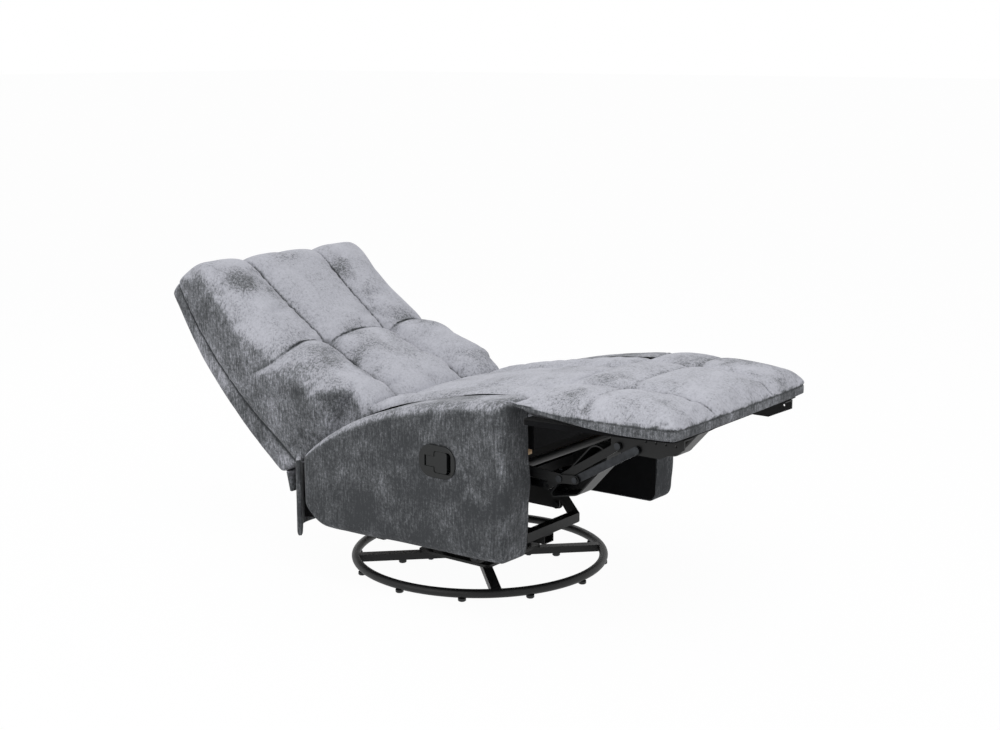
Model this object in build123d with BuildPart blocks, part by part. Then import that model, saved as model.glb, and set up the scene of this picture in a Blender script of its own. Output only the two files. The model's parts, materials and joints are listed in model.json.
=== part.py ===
"""Swivel glider recliner on a round tubular base, reclined with its footrest out.

Frame: millimetres, +Z up, the chair faces -Y. Pieces are drawn from the point where
the swivel axis meets the floor, and save() moves them so that the origin lies under
the middle of the reclined chair's length. Side-view points are (y, z) pairs. Pairs of
pieces are modelled on the +X side and mirrored about the middle plane.
"""
from build123d import *
from math import atan2, cos, degrees, hypot, radians, sin, sqrt
import os

# ---------------------------------------------------------------- clearances
pin_clear = 0.15        # radial, pivot pin in its hole
seat_clear = 0.3        # soft pieces to what carries them
weld_gap = 0.1          # coped tube ends to the curved wall they are welded to
lap = 1.0               # how far fused features reach into each other
ball_seat = 0.05        # bearing balls in the lower groove

# ---------------------------------------------------------------- origin
swivel_y = -24.0        # the swivel axis, from the middle of the reclined length

# ---------------------------------------------------------------- across the chair
arm_inner = 280.0       # inner face of an arm, from the middle plane
arm_width = 100.0
plate_t = 4.0           # side plates, glide links and hangers
link_t = 4.5            # footrest links
side_plate_gap = 10.0   # side plate to the arm
plate_link_gap = 3.5    # side plate to the nearest footrest link
link_gap = 1.0          # between neighbouring footrest links
rail_gap = 34.0         # side plate to the glide rail
rail_link_gap = 6.0     # glide rail to the hanging links
ear_link_gap = 4.0      # hanging links to the hangers
seat_rail_gap = 30.0    # side plate to the seat's side rail
side_rail_t = 24.0
arm_outer = arm_inner + arm_width
side_plate_x = arm_inner - side_plate_gap - plate_t
lower_link_x = side_plate_x - plate_link_gap - link_t
upper_link_x = lower_link_x - link_gap - link_t
inner_link_x = upper_link_x - link_gap - link_t
rail_x = side_plate_x - rail_gap - plate_t
glide_link_x = rail_x - rail_link_gap - plate_t
beam_half = glide_link_x - ear_link_gap - plate_t
seat_rail_half = side_plate_x - seat_rail_gap
side_rail_x = seat_rail_half - side_rail_t
cushion_half = arm_inner - 5.0

# ---------------------------------------------------------------- base ring
ring_radius = 319.0     # centre line of the floor ring
ring_tube_d = 22.0
ring_wall = 2.0
foot_height = 8.0       # floor to the underside of the tube
foot_d = 20.0
foot_stem_d = 8.0
foot_stem_short = 4.0   # the stem ends below the tube's middle
foot_edge = 2.0
foot_count = 12
spoke_width = 25.0
spoke_height = 18.0
spoke_wall = 2.0
spoke_inner = 32.0      # the spokes stop short of the pivot bolt
spoke_foot_radius = 200.0

# ---------------------------------------------------------------- swivel bearing
hub_size = 230.0
hub_corner = 14.0
hub_plate_t = 4.0
race_plate_t = 3.0
race_radius = 88.0
race_width = 20.0
race_ridge = 8.0
race_gap = 2.0
ball_d = 8.0
ball_count = 18
hub_bolt_spacing = 180.0
hub_bolt_d = 8.0
bolt_head_h = 5.0
bolt_head_d = 14.0
pivot_bolt_d = 12.0

# ---------------------------------------------------------------- glide base
runner_x = 75.0
runner_width = 40.0
runner_height = 22.0
runner_half = 165.0
box_wall = 2.0
beam_size = 25.0
beam_y = 152.0
beam_plug = 16.0
glide_front_y = -85.0
glide_rear_y = 105.0
glide_top_z = 172.0
glide_bottom_z = 110.0
glide_link_r = 12.0
glide_pin_r = 5.0
pin_head_t = 3.0
pin_head_r = 9.0
boss_edge = 2.0         # a plate's edge, beyond a link's end
rail_top_z = 194.0
rail_web = 20.0

# ---------------------------------------------------------------- footrest linkage
fixed_pivot = (-250.0, 355.0)
lower_link_length = 180.0
upper_link_length = 180.0
board_open = (-366.0, 478.0)        # rear lower edge of the footrest board, extended
board_closed = (-366.0, 510.0)      # the same edge with the footrest folded down
foot_pivot = (-215.0, -36.0)        # upper link pivot, from that edge
outer_pivot_on_lower = (42.0, -6.0)  # outer link pivot, past the knee of the lower link
driver_tail = 45.0                  # driver pivot, past the knee of the upper link
link_r = 12.0
upper_link_r = 9.0
rivet_r = 4.0
rivet_head_r = 8.0
rivet_head_t = 2.5
driver_slack = 1.2                  # the driver's open pivot
outer_slack = 2.5                   # the outer link's open pivot
torque_tube_d = 20.0
torque_tube_at = 60.0

# ---------------------------------------------------------------- chair body
arm_front = -360.0
arm_panel_t = 12.0
arm_lip = 12.0
arm_round = 20.0
arm_corner = 26.0
lining_t = 1.0
lining_gap = 0.3
seat_front = arm_front + 4.0
seat_base_front = 470.0
seat_base_rear = 398.0
seat_rear = 112.0
seat_top = [(-330.0, 530.0), (-121.0, 503.0), (126.0, 446.0)]
seat_nose = (-350.0, 522.0)
seat_toe = 4.0          # the front slopes back to the underside
seat_front_top = 506.0
seat_rail_t = 22.0
wire_t = 3.8
spring_gap = 0.5        # springs to the cushion and to the rails
spring_width = 56.0
seat_spring_pitch = 28.0
back_spring_pitch = 32.0
recline_pivot = (190.0, 354.0)
recline_pin_r = 6.0
recline_head_r = 11.0
recline_head_t = 5.0
recline_boss_r = 20.0
bracket_t = 4.5
bracket_knee = (255.0, 327.0)
bracket_knee_r = 14.0
bracket_end = (345.0, 318.0)
bracket_end_r = 17.0
fascia_t = 14.0
fascia_below_back = 8.0

# ---------------------------------------------------------------- release handle
bezel_centre = (-172.0, 367.5)
bezel_length = 106.0
bezel_height = 77.0
bezel_rim_t = 4.0
bezel_edge = 1.5
cup_length = 92.0
cup_height = 62.0
cup_depth = 24.0
cup_wall = 2.5
oval_flat = 4.0         # half the straight part of each rounded end
bezel_corner = bezel_height / 2 - oval_flat
cup_corner = cup_height / 2 - oval_flat
lever_pin_r = 2.0
lever_barrel_r = 5.0
lever_t = 4.5
lever_gap = 0.8
shoulder_gap = 1.5      # the paddle's shoulders swing back a little as it opens
neck_height = 24.0
paddle_height = 50.0
paddle_round = 6.0
finger_room = 12.5
lip_depth = 12.0
lip_t = 4.0

# ---------------------------------------------------------------- back
back_half = 300.0
back_lower_half = arm_inner - 4.0
panel_t = 6.0
panel_inset = 1.0       # rear panel to the cushion's rear line
back_border = 20.0      # padded boxing above the frame
back_arm_gap = 0.8
back_side_x = side_plate_x - seat_clear
back_side_t = arm_inner - back_arm_gap - back_side_x

# ---------------------------------------------------------------- footrest
foot_rear_half = arm_outer - 22.0
foot_front_half = foot_rear_half - 54.0
foot_front = -759.0
foot_swell = 4.0        # the sides bow out by this half way along
foot_front_round = 24.0
foot_rear_round = 12.0
foot_board_t = 12.0
foot_lip = 6.0          # the pad's lower edge, above the board's underside
foot_border = 17.0
foot_crown_inset = 45.0
foot_edge_z = 524.0
foot_top_z = 552.0


# ---------------------------------------------------------------- geometry helpers
def turn(vector, angle):
    """A (y, z) vector turned by an angle in degrees, positive about +X."""
    c, s = cos(radians(angle)), sin(radians(angle))
    return (c * vector[0] - s * vector[1], s * vector[0] + c * vector[1])


def plus(a, b):
    """Sum of two (y, z) points."""
    return (a[0] + b[0], a[1] + b[1])


def minus(a, b):
    """Difference of two (y, z) points."""
    return (a[0] - b[0], a[1] - b[1])


def bearing_of(vector):
    """Angle of a (y, z) vector in degrees."""
    return degrees(atan2(vector[1], vector[0]))


def knee(a, a_length, b, b_length):
    """The lower meeting point of two links hung from a and b."""
    span = minus(b, a)
    reach = hypot(*span)
    along = (reach**2 + a_length**2 - b_length**2) / (2 * reach)
    off = sqrt(a_length**2 - along**2)
    unit = (span[0] / reach, span[1] / reach)
    return (a[0] + along * unit[0] - off * unit[1], a[1] + along * unit[1] + off * unit[0])


def centre_through(a, b, c):
    """Centre of the circle through three (y, z) points."""
    ab, ac = minus(b, a), minus(c, a)
    det = 2 * (ab[0] * ac[1] - ab[1] * ac[0])
    ab2, ac2 = ab[0] ** 2 + ab[1] ** 2, ac[0] ** 2 + ac[1] ** 2
    return (a[0] + (ac[1] * ab2 - ab[1] * ac2) / det, a[1] + (ab[0] * ac2 - ac[0] * ab2) / det)


def moved_square(points, distance):
    """Points moved square to the line between their neighbours, left of its direction."""
    moved = []
    for i, point in enumerate(points):
        before, after = points[max(i - 1, 0)], points[min(i + 1, len(points) - 1)]
        moved.append(plus(point, turn((distance, 0), bearing_of(minus(after, before)) + 90)))
    return moved


def link_outline(a, b, radius):
    """Adds a straight link with round ends to the open side-view sketch."""
    middle = ((a[0] + b[0]) / 2, (a[1] + b[1]) / 2)
    with Locations(middle):
        SlotCenterToCenter(hypot(*minus(b, a)), 2 * radius, rotation=bearing_of(minus(b, a)))


def holes(points, radius):
    """Cuts round holes from the open sketch."""
    with Locations(*points):
        Circle(radius, mode=Mode.SUBTRACT)


def pin(centre, *steps):
    """A stepped pin along +X at a (y, z) centre, from (x from, x to, radius) steps."""
    with BuildPart() as stepped:
        for x_from, x_to, radius in steps:
            with BuildSketch(Plane.YZ.offset(x_from)):
                with Locations(centre):
                    Circle(radius)
            extrude(amount=x_to - x_from)
    return stepped.part


def save(name, built):
    """Moves a finished piece to the part's origin, labels it and writes its STEP file."""
    piece = built.part.moved(Location((0, swivel_y, 0)))
    piece.label = name
    export_step(piece, f"parts/{name}.step")


os.makedirs("parts", exist_ok=True)

# ================================================================ linkage geometry
knee_open = knee(fixed_pivot, lower_link_length, plus(board_open, foot_pivot), upper_link_length)
knee_closed = knee(
    fixed_pivot, lower_link_length, plus(board_closed, turn(foot_pivot, 90)), upper_link_length
)
lower_open = bearing_of(minus(knee_open, fixed_pivot))
lower_turn = (bearing_of(minus(knee_closed, fixed_pivot)) - lower_open) % 360
upper_open = bearing_of(minus(plus(board_open, foot_pivot), knee_open))
upper_closed = bearing_of(minus(plus(board_closed, turn(foot_pivot, 90)), knee_closed))
upper_turn = upper_closed - upper_open


def knee_at(share):
    """Knee position with the footrest folded by a share of its travel."""
    return plus(fixed_pivot, turn((lower_link_length, 0), lower_open + share * lower_turn))


def tail_at(share):
    """Driver pivot on the upper link's tail at a share of the travel."""
    return plus(knee_at(share), turn((-driver_tail, 0), upper_open + share * upper_turn))


def elbow_at(share):
    """Outer link pivot on the lower link at a share of the travel."""
    lower = lower_open + share * lower_turn
    return plus(knee_at(share), turn(outer_pivot_on_lower, lower))


def elbow_from_board(share):
    """The same pivot seen from the footrest board."""
    upper = upper_open + share * upper_turn
    board = minus(plus(knee_at(share), turn((upper_link_length, 0), upper)), turn(foot_pivot, 90 * share))
    return turn(minus(elbow_at(share), board), -90 * share)


driver_pivot = centre_through(tail_at(0), tail_at(0.5), tail_at(1))
outer_on_board = centre_through(elbow_from_board(0), elbow_from_board(0.5), elbow_from_board(1))
upper_foot = plus(board_open, foot_pivot)
outer_foot = plus(board_open, outer_on_board)
tail_open = tail_at(0)
elbow_open = elbow_at(0)

# ================================================================ base ring and spokes
ring_z = foot_height + ring_tube_d / 2
ring_r = ring_tube_d / 2
spoke_top = ring_z + spoke_height / 2
foot_angles = [360 * i / foot_count for i in range(foot_count)]

with BuildPart() as base_ring:
    with BuildSketch(Plane.XZ):
        with Locations((ring_radius, ring_z)):
            Circle(ring_r)
            Circle(ring_r - ring_wall, mode=Mode.SUBTRACT)
    revolve(axis=Axis.Z)
    with BuildSketch(Plane.XY):
        with PolarLocations(ring_radius, foot_count):
            Circle(foot_stem_d / 2 + weld_gap)
    extrude(amount=ring_z, mode=Mode.SUBTRACT)
save("base_ring", base_ring)

with BuildPart() as one_spoke:
    with BuildSketch(Plane.YZ.offset(spoke_inner)):
        with Locations((0, ring_z)):
            Rectangle(spoke_width, spoke_height)
            Rectangle(spoke_width - 2 * spoke_wall, spoke_height - 2 * spoke_wall, mode=Mode.SUBTRACT)
    extrude(amount=ring_radius - spoke_inner)
    with BuildSketch(Plane.XZ):
        with Locations((ring_radius, ring_z)):
            Circle(ring_r + weld_gap)
    revolve(axis=Axis.Z, mode=Mode.SUBTRACT)
    with BuildSketch():
        with Locations((hub_bolt_spacing / sqrt(2), 0)):
            Circle(hub_bolt_d / 2 + weld_gap)
    extrude(amount=spoke_top, mode=Mode.SUBTRACT)
    with BuildSketch():
        with Locations((spoke_foot_radius, 0)):
            Circle(foot_stem_d / 2 + weld_gap)
    extrude(amount=ring_z, mode=Mode.SUBTRACT)

with BuildPart() as base_spokes:
    with PolarLocations(0, 4, start_angle=45):
        add(one_spoke.part)
save("base_spokes", base_spokes)


def foot(radius, angle, seat_z):
    """One plastic floor glide: a domed foot with a stem pressed into the tube above."""
    place = (radius * cos(radians(angle)), radius * sin(radians(angle)))
    with BuildPart() as one:
        with BuildSketch():
            with Locations(place):
                Circle(foot_d / 2)
        extrude(amount=seat_z)
        chamfer(one.faces().sort_by(Axis.Z)[0].edges(), foot_edge)
        with BuildSketch():
            with Locations(place):
                Circle(foot_stem_d / 2)
        extrude(amount=ring_z - foot_stem_short)
    return one.part


with BuildPart() as floor_glides:
    for angle in foot_angles:
        add(foot(ring_radius, angle, foot_height - weld_gap))
    for angle in (45, 135, 225, 315):
        add(foot(spoke_foot_radius, angle, ring_z - spoke_height / 2))
save("floor_glides", floor_glides)

# ================================================================ swivel bearing
hub_bottom = spoke_top
hub_top = hub_bottom + hub_plate_t
lower_race_top = hub_top + race_plate_t
ball_z = lower_race_top + race_ridge + race_gap / 2
upper_race_bottom = ball_z + race_gap / 2 + race_ridge
upper_race_top = upper_race_bottom + race_plate_t
ball_r = ball_d / 2
swivel_bolt_y = 100.0
hub_bolt_half = hub_bolt_spacing / 2
hub_bolt_places = [(sx * hub_bolt_half, sy * hub_bolt_half) for sx in (-1, 1) for sy in (-1, 1)]
swivel_bolt_places = [(sx * runner_x, sy * swivel_bolt_y) for sx in (-1, 1) for sy in (-1, 1)]
pivot_hole_r = pivot_bolt_d / 2 + pin_clear


def bearing_plate(z, thickness, bolt_places):
    """A square stamped plate with rounded corners, bolt holes and the pivot hole."""
    with BuildPart() as plate:
        with BuildSketch(Plane.XY.offset(z)):
            RectangleRounded(hub_size, hub_size, hub_corner)
            holes([(0, 0)], pivot_hole_r)
            holes(bolt_places, hub_bolt_d / 2 + weld_gap)
        extrude(amount=thickness)
    return plate.part


def race_ring(z, clearance):
    """The raised ring of a bearing plate with the groove that the balls run in."""
    with BuildPart() as ring:
        with BuildSketch(Plane.XY.offset(z)):
            Circle(race_radius + race_width / 2)
            Circle(race_radius - race_width / 2, mode=Mode.SUBTRACT)
        extrude(amount=race_ridge)
        with BuildSketch(Plane.XZ):
            with Locations((race_radius, ball_z)):
                Circle(ball_r + clearance)
        revolve(axis=Axis.Z, mode=Mode.SUBTRACT)
    return ring.part


with BuildPart() as hub_plate:
    add(bearing_plate(hub_bottom, hub_plate_t, hub_bolt_places))
save("hub_plate", hub_plate)

with BuildPart() as bearing_lower_race:
    add(bearing_plate(hub_top, race_plate_t, hub_bolt_places))
    add(race_ring(lower_race_top, ball_seat))
save("bearing_lower_race", bearing_lower_race)

with BuildPart() as bearing_upper_race:
    add(bearing_plate(upper_race_bottom, race_plate_t, swivel_bolt_places))
    add(race_ring(upper_race_bottom - race_ridge, seat_clear))
save("bearing_upper_race", bearing_upper_race)

with BuildPart() as bearing_balls:
    with Locations((0, 0, ball_z)):
        with PolarLocations(race_radius, ball_count):
            Sphere(ball_r)
save("bearing_balls", bearing_balls)

with BuildPart() as pivot_bolt:
    with BuildSketch(Plane.XY.offset(hub_bottom - bolt_head_h)):
        RegularPolygon(pivot_bolt_d, 6)
    extrude(amount=bolt_head_h)
    with BuildSketch(Plane.XY.offset(hub_bottom)):
        Circle(pivot_bolt_d / 2)
    extrude(amount=upper_race_top + seat_clear - hub_bottom)
    with BuildSketch(Plane.XY.offset(upper_race_top + seat_clear)):
        RegularPolygon(pivot_bolt_d, 6)
    extrude(amount=1.5 * bolt_head_h)
save("pivot_bolt", pivot_bolt)

with BuildPart() as hub_bolts:
    with BuildSketch(Plane.XY.offset(ring_z - spoke_height / 2 - bolt_head_h)):
        with GridLocations(hub_bolt_spacing, hub_bolt_spacing, 2, 2):
            RegularPolygon(bolt_head_d / 2, 6)
    extrude(amount=bolt_head_h)
    with BuildSketch(Plane.XY.offset(ring_z - spoke_height / 2)):
        with GridLocations(hub_bolt_spacing, hub_bolt_spacing, 2, 2):
            Circle(hub_bolt_d / 2)
    extrude(amount=lower_race_top - ring_z + spoke_height / 2)
    with BuildSketch(Plane.XY.offset(lower_race_top)):
        with GridLocations(hub_bolt_spacing, hub_bolt_spacing, 2, 2):
            RegularPolygon(bolt_head_d / 2, 6)
    extrude(amount=bolt_head_h)
save("hub_bolts", hub_bolts)

# ================================================================ glide base
runner_top = upper_race_top + runner_height
beam_top = runner_top + beam_size
beam_mid = runner_top + beam_size / 2

with BuildPart() as glide_runners:
    with BuildSketch(Plane.XZ.offset(-runner_half)):
        with Locations((runner_x, upper_race_top + runner_height / 2)):
            Rectangle(runner_width, runner_height)
            Rectangle(runner_width - 2 * box_wall, runner_height - 2 * box_wall, mode=Mode.SUBTRACT)
    extrude(amount=2 * runner_half)
    with BuildSketch(Plane.XY.offset(upper_race_top)):
        with Locations((runner_x, -swivel_bolt_y), (runner_x, swivel_bolt_y)):
            Circle(hub_bolt_d / 2 + weld_gap)
    extrude(amount=runner_height, mode=Mode.SUBTRACT)
    mirror(about=Plane.YZ)
save("glide_runners", glide_runners)

with BuildPart() as glide_cross_beams:
    with BuildSketch(Plane.YZ.offset(-beam_half)):
        with Locations((-beam_y, beam_mid), (beam_y, beam_mid)):
            Rectangle(beam_size, beam_size)
    extrude(amount=2 * beam_half)
    with BuildSketch(Plane.YZ.offset(beam_plug - beam_half)):
        with Locations((-beam_y, beam_mid), (beam_y, beam_mid)):
            Rectangle(beam_size - 2 * box_wall, beam_size - 2 * box_wall)
    extrude(amount=2 * (beam_half - beam_plug), mode=Mode.SUBTRACT)
    with BuildSketch(Plane.YZ.offset(-beam_half)):
        with Locations((-beam_y, beam_mid), (beam_y, beam_mid)):
            Circle(hub_bolt_d / 2 + weld_gap)
    extrude(amount=2 * beam_half, mode=Mode.SUBTRACT)
save("glide_cross_beams", glide_cross_beams)


def ear(pivot_y, beam_side):
    """One hanger plate: a foot on the beam's end and an ear round the upper pivot."""
    with BuildPart() as plate:
        with BuildSketch(Plane.YZ.offset(beam_half)):
            with Locations((beam_side * beam_y, beam_mid)):
                RectangleRounded(beam_size, beam_size, box_wall)
            with Locations((pivot_y, glide_top_z)):
                Circle(glide_link_r + boss_edge)
            make_hull()
            holes([(pivot_y, glide_top_z)], glide_pin_r + weld_gap)
            holes([(beam_side * beam_y, beam_mid)], hub_bolt_d / 2 + weld_gap)
        extrude(amount=plate_t)
    return plate.part


with BuildPart() as glide_ears:
    add(ear(glide_front_y, -1))
    add(ear(glide_rear_y, 1))
    mirror(about=Plane.YZ)
save("glide_ears", glide_ears)

with BuildPart() as glide_base_bolts:
    for y in (-beam_y, beam_y):
        add(pin((y, beam_mid), (beam_half - beam_plug, beam_half + plate_t, hub_bolt_d / 2),
             (beam_half + plate_t, beam_half + plate_t + pin_head_t, bolt_head_d / 2)))
    mirror(about=Plane.YZ)
    with BuildSketch(Plane.XY.offset(upper_race_bottom - pin_head_t)):
        with Locations(*swivel_bolt_places):
            RegularPolygon(bolt_head_d / 2, 6)
    extrude(amount=pin_head_t)
    with BuildSketch(Plane.XY.offset(upper_race_bottom)):
        with Locations(*swivel_bolt_places):
            Circle(hub_bolt_d / 2)
    extrude(amount=race_plate_t + runner_height)
    with BuildSketch(Plane.XY.offset(runner_top)):
        with Locations(*swivel_bolt_places):
            RegularPolygon(bolt_head_d / 2, 6)
    extrude(amount=bolt_head_h)
save("glide_base_bolts", glide_base_bolts)

glide_link_end = glide_link_x + plate_t
with BuildPart() as glide_upper_pins:
    for y in (glide_front_y, glide_rear_y):
        add(pin((y, glide_top_z), (beam_half - pin_head_t, beam_half, pin_head_r),
             (beam_half, glide_link_end + seat_clear, glide_pin_r),
             (beam_half + plate_t, glide_link_x - seat_clear, pin_head_r - 2),
             (glide_link_end + seat_clear, glide_link_end + seat_clear + pin_head_t, pin_head_r)))
    mirror(about=Plane.YZ)
save("glide_upper_pins", glide_upper_pins)


def glide_links(name, pivot_y):
    """Writes one left and right pair of hanging glide links."""
    with BuildPart() as links:
        with BuildSketch(Plane.YZ.offset(glide_link_x)):
            link_outline((pivot_y, glide_top_z), (pivot_y, glide_bottom_z), glide_link_r)
            holes([(pivot_y, glide_top_z), (pivot_y, glide_bottom_z)], glide_pin_r + pin_clear)
        extrude(amount=plate_t)
        mirror(about=Plane.YZ)
    save(name, links)


glide_links("front_glide_links", glide_front_y)
glide_links("rear_glide_links", glide_rear_y)

glide_link_near = glide_link_x - seat_clear
with BuildPart() as glide_lower_pins:
    for y in (glide_front_y, glide_rear_y):
        add(pin((y, glide_bottom_z), (glide_link_near - pin_head_t, glide_link_near, pin_head_r),
             (glide_link_near, rail_x + plate_t, glide_pin_r),
             (glide_link_end + seat_clear, rail_x, pin_head_r),
             (rail_x + plate_t, rail_x + plate_t + pin_head_t, pin_head_r)))
    mirror(about=Plane.YZ)
save("glide_lower_pins", glide_lower_pins)

# ================================================================ chair steelwork
rail_front = -118.0
rail_rear = 140.0
frame_bolt_x = (rail_x + plate_t + side_plate_x) / 2
frame_bolt_ys = (-80.0, 10.0, 100.0)
foot_flange_edge = 12.0
foot_flange_short = 30.0
seat_flange_z = 372.0
seat_flange_t = 3.0
seat_flange_front = -255.0
seat_flange_rear = 150.0
seat_flange_lap = 20.0
fixed_boss_r = 17.0
plate_foot_r = 14.0
plate_foot_rise = 10.0
tube_ys = (-95.0, 128.0)
tube_z = 228.0

with BuildPart() as glide_rails:
    with BuildSketch(Plane.YZ.offset(rail_x)):
        with Locations((glide_front_y, glide_bottom_z), (glide_rear_y, glide_bottom_z)):
            Circle(glide_link_r + boss_edge)
        with Locations(((rail_front + rail_rear) / 2, rail_top_z - rail_web / 2)):
            Rectangle(rail_rear - rail_front, rail_web)
        make_hull()
        holes([(glide_front_y, glide_bottom_z), (glide_rear_y, glide_bottom_z)], glide_pin_r + weld_gap)
    extrude(amount=plate_t)
    with BuildSketch(Plane.XY.offset(rail_top_z - plate_t)):
        with Locations(((rail_x + side_plate_x) / 2, (rail_front + rail_rear) / 2)):
            Rectangle(side_plate_x - rail_x, rail_rear - rail_front)
        holes([(frame_bolt_x, y) for y in frame_bolt_ys], hub_bolt_d / 2 + weld_gap)
    extrude(amount=plate_t)
    mirror(about=Plane.YZ)
save("glide_rails", glide_rails)

arm_bolt_places = [(-180.0, 345.0), (60.0, 345.0), (-40.0, 225.0), (70.0, 225.0)]

plate_foot_z = rail_top_z + plate_foot_rise
plate_feet = [(rail_front + plate_foot_r, plate_foot_z), (rail_rear - plate_foot_r, plate_foot_z)]
seat_flange_mid = (seat_flange_front + seat_flange_rear) / 2
seat_flange_length = seat_flange_rear - seat_flange_front
foot_flange_x = frame_bolt_x - foot_flange_edge

with BuildPart() as left_side_plate:
    with BuildSketch(Plane.YZ.offset(side_plate_x)):
        with Locations(fixed_pivot):
            Circle(fixed_boss_r)
        with Locations(recline_pivot):
            Circle(recline_boss_r)
        with Locations(*plate_feet):
            Circle(plate_foot_r)
        make_hull()
        with Locations((seat_flange_mid, seat_flange_z - seat_flange_lap / 2)):
            Rectangle(seat_flange_length, seat_flange_lap + 2 * seat_flange_t)
        holes([fixed_pivot, driver_pivot], glide_pin_r + weld_gap)
        holes([recline_pivot], recline_pin_r + weld_gap)
        holes(arm_bolt_places, hub_bolt_d / 2 + weld_gap)
    extrude(amount=plate_t)
    with BuildSketch(Plane.XY.offset(seat_flange_z)):
        with Locations(((side_rail_x + side_plate_x) / 2, seat_flange_mid)):
            Rectangle(side_plate_x - side_rail_x, seat_flange_length)
    extrude(amount=seat_flange_t)
    with BuildSketch(Plane.XY.offset(rail_top_z)):
        with Locations(((foot_flange_x + side_plate_x) / 2, (rail_front + rail_rear) / 2)):
            Rectangle(side_plate_x - foot_flange_x, rail_rear - rail_front - foot_flange_short)
        holes([(frame_bolt_x, y) for y in frame_bolt_ys], hub_bolt_d / 2 + weld_gap)
    extrude(amount=seat_flange_t)
save("left_side_plate", left_side_plate)

with BuildPart() as right_side_plate:
    mirror(left_side_plate.part, about=Plane.YZ)
save("right_side_plate", right_side_plate)

with BuildPart() as cross_tubes:
    with BuildSketch(Plane.YZ.offset(-side_plate_x)):
        with Locations(*[(y, tube_z) for y in tube_ys]):
            Rectangle(beam_size, beam_size)
            Rectangle(beam_size - 2 * box_wall, beam_size - 2 * box_wall, mode=Mode.SUBTRACT)
    extrude(amount=2 * side_plate_x)
save("cross_tubes", cross_tubes)

with BuildPart() as frame_bolts:
    places = [(frame_bolt_x, y) for y in frame_bolt_ys]
    for z_from, z_to, radius in (
        (rail_top_z - plate_t - pin_head_t, rail_top_z - plate_t, bolt_head_d / 2),
        (rail_top_z - plate_t, rail_top_z + seat_flange_t, hub_bolt_d / 2),
        (rail_top_z + seat_flange_t, rail_top_z + seat_flange_t + bolt_head_h, bolt_head_d / 2),
    ):
        with BuildSketch(Plane.XY.offset(z_from)):
            with Locations(*places):
                Circle(radius)
        extrude(amount=z_to - z_from)
    mirror(about=Plane.YZ)
save("frame_bolts", frame_bolts)

# The fixed pivots: shouldered pins that carry the links and the back on the side plates.
outer_head = side_plate_x + plate_t + pin_head_t
lower_link_near = lower_link_x - seat_clear
bracket_near = side_plate_x - bracket_t - 2 * seat_clear
with BuildPart() as fixed_pivot_pins:
    add(pin(fixed_pivot, (lower_link_near - rivet_head_t, lower_link_near, pin_head_r),
         (lower_link_near, side_plate_x + plate_t, glide_pin_r),
         (lower_link_x + link_t + seat_clear, side_plate_x, pin_head_r),
         (side_plate_x + plate_t, outer_head, pin_head_r)))
    add(pin(driver_pivot, (inner_link_x - seat_clear - rivet_head_t, inner_link_x - seat_clear, pin_head_r),
         (inner_link_x - seat_clear, side_plate_x + plate_t, glide_pin_r),
         (inner_link_x + link_t + seat_clear, side_plate_x, pin_head_r - 1.5),
         (side_plate_x + plate_t, outer_head, pin_head_r)))
    add(pin(recline_pivot, (bracket_near - recline_head_t, bracket_near, recline_head_r),
         (bracket_near, side_plate_x + plate_t, recline_pin_r),
         (side_plate_x + plate_t, outer_head, recline_head_r)))
    mirror(about=Plane.YZ)
save("fixed_pivot_pins", fixed_pivot_pins)

# ================================================================ arms
arm_top = [(267.0, 312.0), (177.0, 394.0), (25.0, 462.0), (-130.0, 501.0), (-360.0, 533.0)]
arm_bottom_rear = (190.0, 137.0)
arm_heel = (242.0, 154.0)
arm_heel_top = 205.0
arm_bottom_front = 147.0
arm_rear_y = 267.0
tail_rear = 344.0           # the plywood runs on behind the arm to carry the rear panel
tail_root = (150.0, 318.0)
tail_shoulder = (232.0, 318.0)
tail_bottom = 122.0
tail_rise = 28.0
tail_top_rear = 246.0


def arm_outline(inset=0.0):
    """The arm's side view as a sketch, set in evenly by inset."""
    top_points = moved_square(arm_top, inset)
    rear, front = arm_rear_y - inset, arm_front + inset
    top_points[0] = (rear, top_points[0][1])
    top_points[-1] = (front, top_points[-1][1])
    with BuildSketch() as outline:
        with BuildLine():
            top = Spline(*top_points, tangents=[(-0.5, 1), (-1, 0.05)])
            front_edge = Line(top @ 1, (front, arm_bottom_front + inset))
            bottom = Line(front_edge @ 1, plus(arm_bottom_rear, (0, inset)))
            heel = plus(arm_heel, turn((inset, 0), 135))
            rear_low = ThreePointArc(bottom @ 1, heel, (rear, arm_heel_top))
            Line(rear_low @ 1, top @ 0)
        make_face()
        fillet(outline.vertices().group_by(Axis.X)[0], arm_corner - inset / 2)
    return outline.sketch


def arm_panel_outline(clearance=0.0):
    """The plywood arm panel: the arm's shape set in, with the tail behind it."""
    with BuildSketch() as outline:
        add(arm_outline(arm_lip - clearance))
        with BuildLine():
            Polyline(
                (tail_root[0], tail_bottom + tail_rise - clearance),
                (tail_rear + clearance, tail_bottom - clearance),
                (tail_rear + clearance, tail_top_rear + clearance),
                plus(tail_shoulder, (0, clearance)),
                tail_root,
                close=True,
            )
        make_face()
    return outline.sketch


with BuildPart() as left_arm_panel:
    with BuildSketch(Plane.YZ.offset(arm_inner)):
        add(arm_panel_outline())
        holes(arm_bolt_places, hub_bolt_d / 2 + weld_gap)
    extrude(amount=arm_panel_t)
save("left_arm_panel", left_arm_panel)

with BuildPart() as right_arm_panel:
    mirror(left_arm_panel.part, about=Plane.YZ)
save("right_arm_panel", right_arm_panel)

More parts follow.
